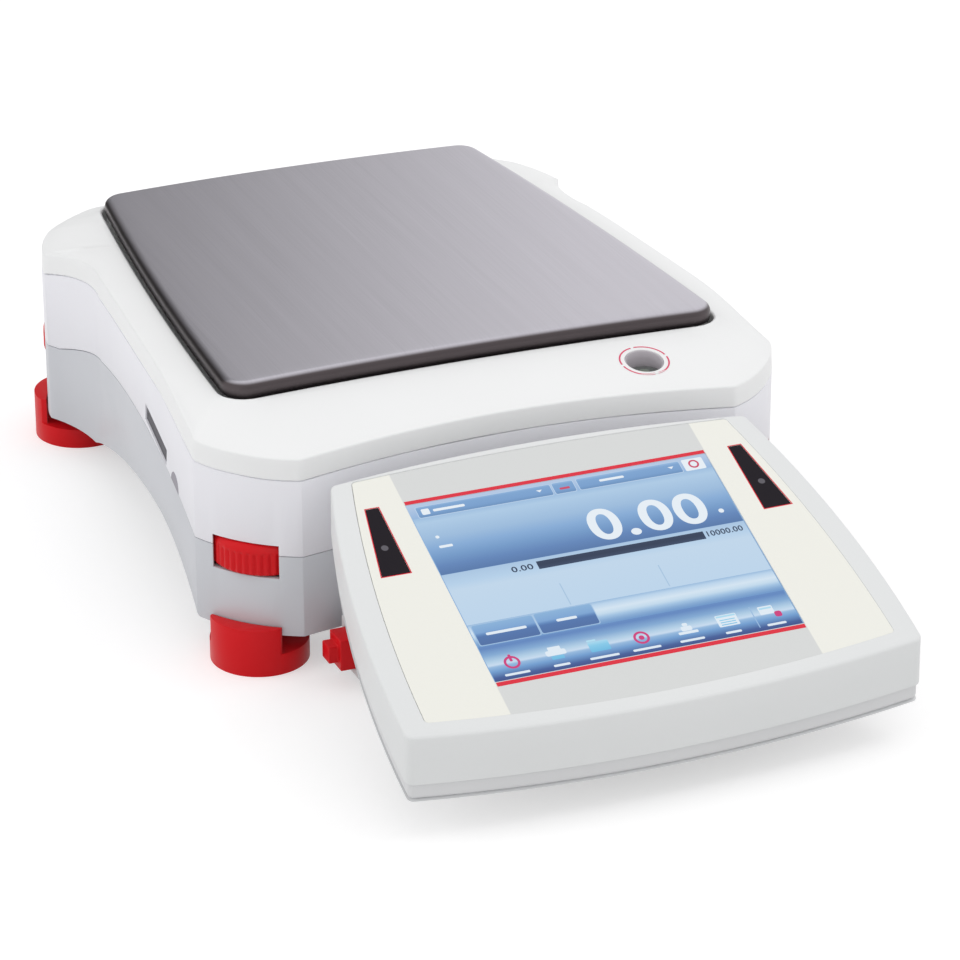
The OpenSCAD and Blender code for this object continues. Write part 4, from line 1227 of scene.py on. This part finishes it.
def figures(text, left, right, low, height, bold):
    """Plain figures as a thin mesh on the face, stretched to a left and a right end."""
    deselect()
    bpy.ops.object.text_add()
    word = bpy.context.object
    size = height * mm / figure_share
    word.data.body = text
    word.data.size = 1.0
    word.data.offset = bold
    word.data.space_character = 1.06
    word.data.extrude = 0.03 * mm / size
    bpy.ops.object.convert(target="MESH")
    word.scale = (size, size, size)
    bpy.ops.object.transform_apply(location=False, rotation=False, scale=True)
    first = min(v.co.x for v in word.data.vertices)
    span = max(v.co.x for v in word.data.vertices) - first
    word.scale = ((right - left) * mm / span, 1, 1)
    word.location = (left * mm - first * (right - left) * mm / span, low * mm, (glass + 0.14) * mm)
    bpy.ops.object.transform_apply(location=True, rotation=True, scale=True)
    return word


reading = figures("0.00", 2.0, 46.8, 11.2, 14.6, 0.017)
show([reading], "reading", "screen_glass", mark_glow)
scale_ends = [figures("0.00", -32.6, -24.6, 3.7, 2.5, 0.012),
              figures("10000.00", 41.9, 55.6, 3.9, 2.5, 0.012)]
show(scale_ends, "scale_ends", "screen_glass", ink_glow)
print("reading width in mm:", round(reading.dimensions.x / mm, 1))

# %% [markdown]
# The buttons carry short bars where a real menu has words, and each icon is a plain pictogram:
# a standby ring, a printer, a folder, a target, a check weight, a list and a stack of pages.

# %% Icons
lift = glass + 0.14
mark_thick = 0.03


def ring_mark(u, s, radius, width):
    """A thin flat ring on the face."""
    steps = tube((radius - width) * mm, radius * mm, lift * mm, (lift + mark_thick) * mm)
    return turned("ring", Vector((u * mm, s * mm)), steps, True, 28)


def arrow_mark(u, s, half):
    """A small triangle that points down, as on a list button."""
    points = [Vector((x * mm, y * mm)) for x, y in ((u - half, s), (u, s - half), (u + half, s))]
    return skin("arrow", [raised(points, lift * mm), raised(points, (lift + mark_thick) * mm)])


def mark_tiles(rows, over=0.0):
    """Thin plates from rows of left, low, right and high, with a corner where there is one."""
    return [tile(*row[:4], lift + over, *row[4:]) for row in rows]


captions = ((-48.6, 4.6), (-32.3, 3.0), (-16.5, 5.4), (-0.7, 5.2), (16.3, 4.6), (31.9, 3.0),
            (48.3, 3.6))
white_marks = mark_tiles([
    (-53.2, 37.4, -50.2, 40.2, 0.5), (-48.9, 38.2, -37.0, 39.4, 0.5), (14.5, 38.5, 24.0, 39.6, 0.5),
    (-52.8, 25.4, -51.4, 26.8, 0.6), (-53.2, 20.7, -48.2, 21.9, 0.4), (50.6, 13.8, 52.6, 15.8, 0.9),
    (-52.5, -22.2, -37.6, -21.0, 0.5), (-26.4, -22.0, -18.8, -20.8, 0.5),
    (-36.0, -36.6, -28.6, -34.2, 0.7), (-34.6, -34.2, -30.0, -32.6, 0.2),
    (12.6, -38.2, 20.0, -37.0, 0.4), (14.3, -36.8, 18.3, -34.7, 0.5),
    (15.3, -34.6, 17.3, -33.2, 0.6), (28.0, -38.2, 35.8, -32.8, 0.4),
    (44.4, -36.2, 49.8, -32.4, 0.4)])
white_marks += mark_tiles([(u - reach, -41.7, u + reach, -40.7, 0.4) for u, reach in captions])
white_marks += [arrow_mark(-8.5, 39.6, 1.1), arrow_mark(42.5, 39.7, 1.1)]
show(white_marks, "white_marks", "screen_glass", mark_glow)
cyan_marks = mark_tiles([(-34.6, -38.4, -30.0, -36.8, 0.3), (-20.2, -38.4, -12.8, -33.8, 0.5),
                         (-20.2, -33.6, -16.8, -32.8, 0.3)])
cyan_marks += mark_tiles([(28.3, -33.9, 35.5, -33.1, 0.2), (44.8, -33.8, 49.4, -33.0, 0.2)], 0.05)
cyan_marks += mark_tiles([(29.0, s - 0.2, 34.8, s + 0.2) for s in (-35.2, -36.3, -37.4)], 0.05)
show(cyan_marks, "cyan_marks", "screen_glass", cyan_glow)
rose_marks = mark_tiles([(-1.7, -37.0, 0.3, -35.0, 0.9), (-0.9, 38.0, 2.9, 39.0, 0.3)])
rose_marks += mark_tiles([(-49.1, -35.6, -48.1, -32.4, 0.3), (49.4, -38.2, 52.0, -35.6, 0.8)], 0.05)
rose_marks += [ring_mark(-48.6, -36.0, 2.9, 0.9), ring_mark(-0.7, -36.0, 2.9, 0.9),
               ring_mark(51.4, 39.2, 2.0, 0.7)]
show(rose_marks, "rose_marks", "screen_glass", rose_glow)

# %% [markdown]
# ## Level window
# The round level sits in a well of the deck. A broken red ring is printed round it: four arcs
# with gaps between them. Each arc starts as a grid, is bent round the well, and is laid on
# the deck by casting rays at the finished cover. The well is lined by a grey sleeve whose edge
# follows the slope of the deck. The vial in it ends in a low dome, and the bubble is a paler spot
# on top of it.

# %% Printed ring of the level
ring_r = 9.1
ring_half = 0.3
arc_half = 41
arc_turn = 51
ink_lift = 0.07 * mm
ink_thick = 0.03 * mm
laid_tree = BVHTree.FromObject(cover, bpy.context.evaluated_depsgraph_get())
arcs = []
for turn in range(4):
    deselect()
    bpy.ops.mesh.primitive_grid_add(x_subdivisions=20, y_subdivisions=1, size=2)
    arc = bpy.context.object
    bpy.ops.object.mode_set(mode="EDIT")
    mesh = bmesh.from_edit_mesh(arc.data)
    for v in mesh.verts:
        a = math.radians(turn * 90 + arc_half * v.co.x + arc_turn)
        r = (ring_r + ring_half * v.co.y) * mm
        x = level_at.x + r * math.cos(a)
        y = level_at.y + r * math.sin(a)
        v.co = (x, y, height_on(laid_tree, x, y) + ink_lift)
    bmesh.update_edit_mesh(arc.data)
    bpy.ops.object.mode_set(mode="OBJECT")
    thick = arc.modifiers.new("ink", "SOLIDIFY")
    thick.thickness = ink_thick
    thick.offset = 1
    bpy.ops.object.modifier_apply(modifier=thick.name)
    arcs.append(arc)
level_print = plastic("level_print", (222, 70, 108), 0.4, 1500, 0.02)
dress(together(arcs), "level_ring", "base", "white_plastic", level_print)

# %% Sleeve and dome of the level
beside = round_ring(level_at, well_r + 0.6 * mm, 0.0)
brim = [height_on(laid_tree, p.x, p.y) for p in beside]
brim_steps = ((0.05, 0.5), (0.2, 0.35), (0.55, 0.45), (0.75, 0.9), (1.05, 3.0))
dome_steps = ((6.2, 7.2), (6.2, 4.9), (5.8, 4.6), (4.2, 4.35), (2.4, 4.2), (0.6, 4.15))
bubble_steps = ((1.9, 4.2), (1.7, 4.14), (1.0, 4.1), (0.3, 4.09))


def brim_ring(inset, drop):
    """A circle in the well that follows the slope of the deck, a drop below it."""
    ring = round_ring(level_at, well_r - inset, 0.0)
    return [Vector((p.x, p.y, z - drop)) for p, z in zip(ring, brim)]


def in_well(name, steps):
    """A round piece in the well, from (radius, depth) steps in mm."""
    return turned(name, level_at, [(r * mm, level_top - d * mm) for r, d in steps])


rings = [round_ring(level_at, well_r - inset * mm, level_top - 8 * mm) for inset in (1.05, 0.05)]
rings += [brim_ring(inset * mm, drop * mm) for inset, drop in brim_steps]
sleeve = skin("level_sleeve", rings, joined=True)
dress(sleeve, "level_sleeve", "base", "cup_plastic", cup_plastic)
dress(in_well("vial_dome", dome_steps), "vial_dome", "base", "vial_glass", vial_glass)
dress(in_well("bubble_spot", bubble_steps), "bubble_spot", "base", "vial_glass", bubble_glass)

# %% [markdown]
# ## Finishes of the remaining solids
# The faceplate, glass, sensors, ports, screws and inner parts keep their solids, because their
# shapes are right as they are. Each of them gets a finish.

# %% Finishes of solids
finishes = [
    (steel, "housing_screws", "terminal_screws", "pan_support", "cal_screw", "cal_weight"),
    (dark_plastic, "rear_panel", "cal_motor", "power_jack", "display_panel"),
    (cell_alloy, "cell_frame", "load_hanger"),
    (board_green, "main_board", "terminal_board"),
    (port_metal, "serial_port", "usb_port"),
    (terminal_grey, "dock_rail", "hook_cover"),
    (black_rubber, "pan_bumpers", "terminal_feet"),
    (insert_grey, "slot_inserts"), (cup_plastic, "level_cup"), (vial_glass, "level_vial"),
    (bubble_glass, "level_bubble"), (magnet_iron, "magnet_pot"), (plate_film, "faceplate"),
    (glass_glow, "touch_glass"), (sensor_black, "sensor_windows"), (lens_grey, "sensor_lenses"),
]
for finish, *names in finishes:
    for node in names:
        nodes[node].data.materials.clear()
        nodes[node].data.materials.append(finish)
print("solids with a finish:", sum(len(row) - 1 for row in finishes))
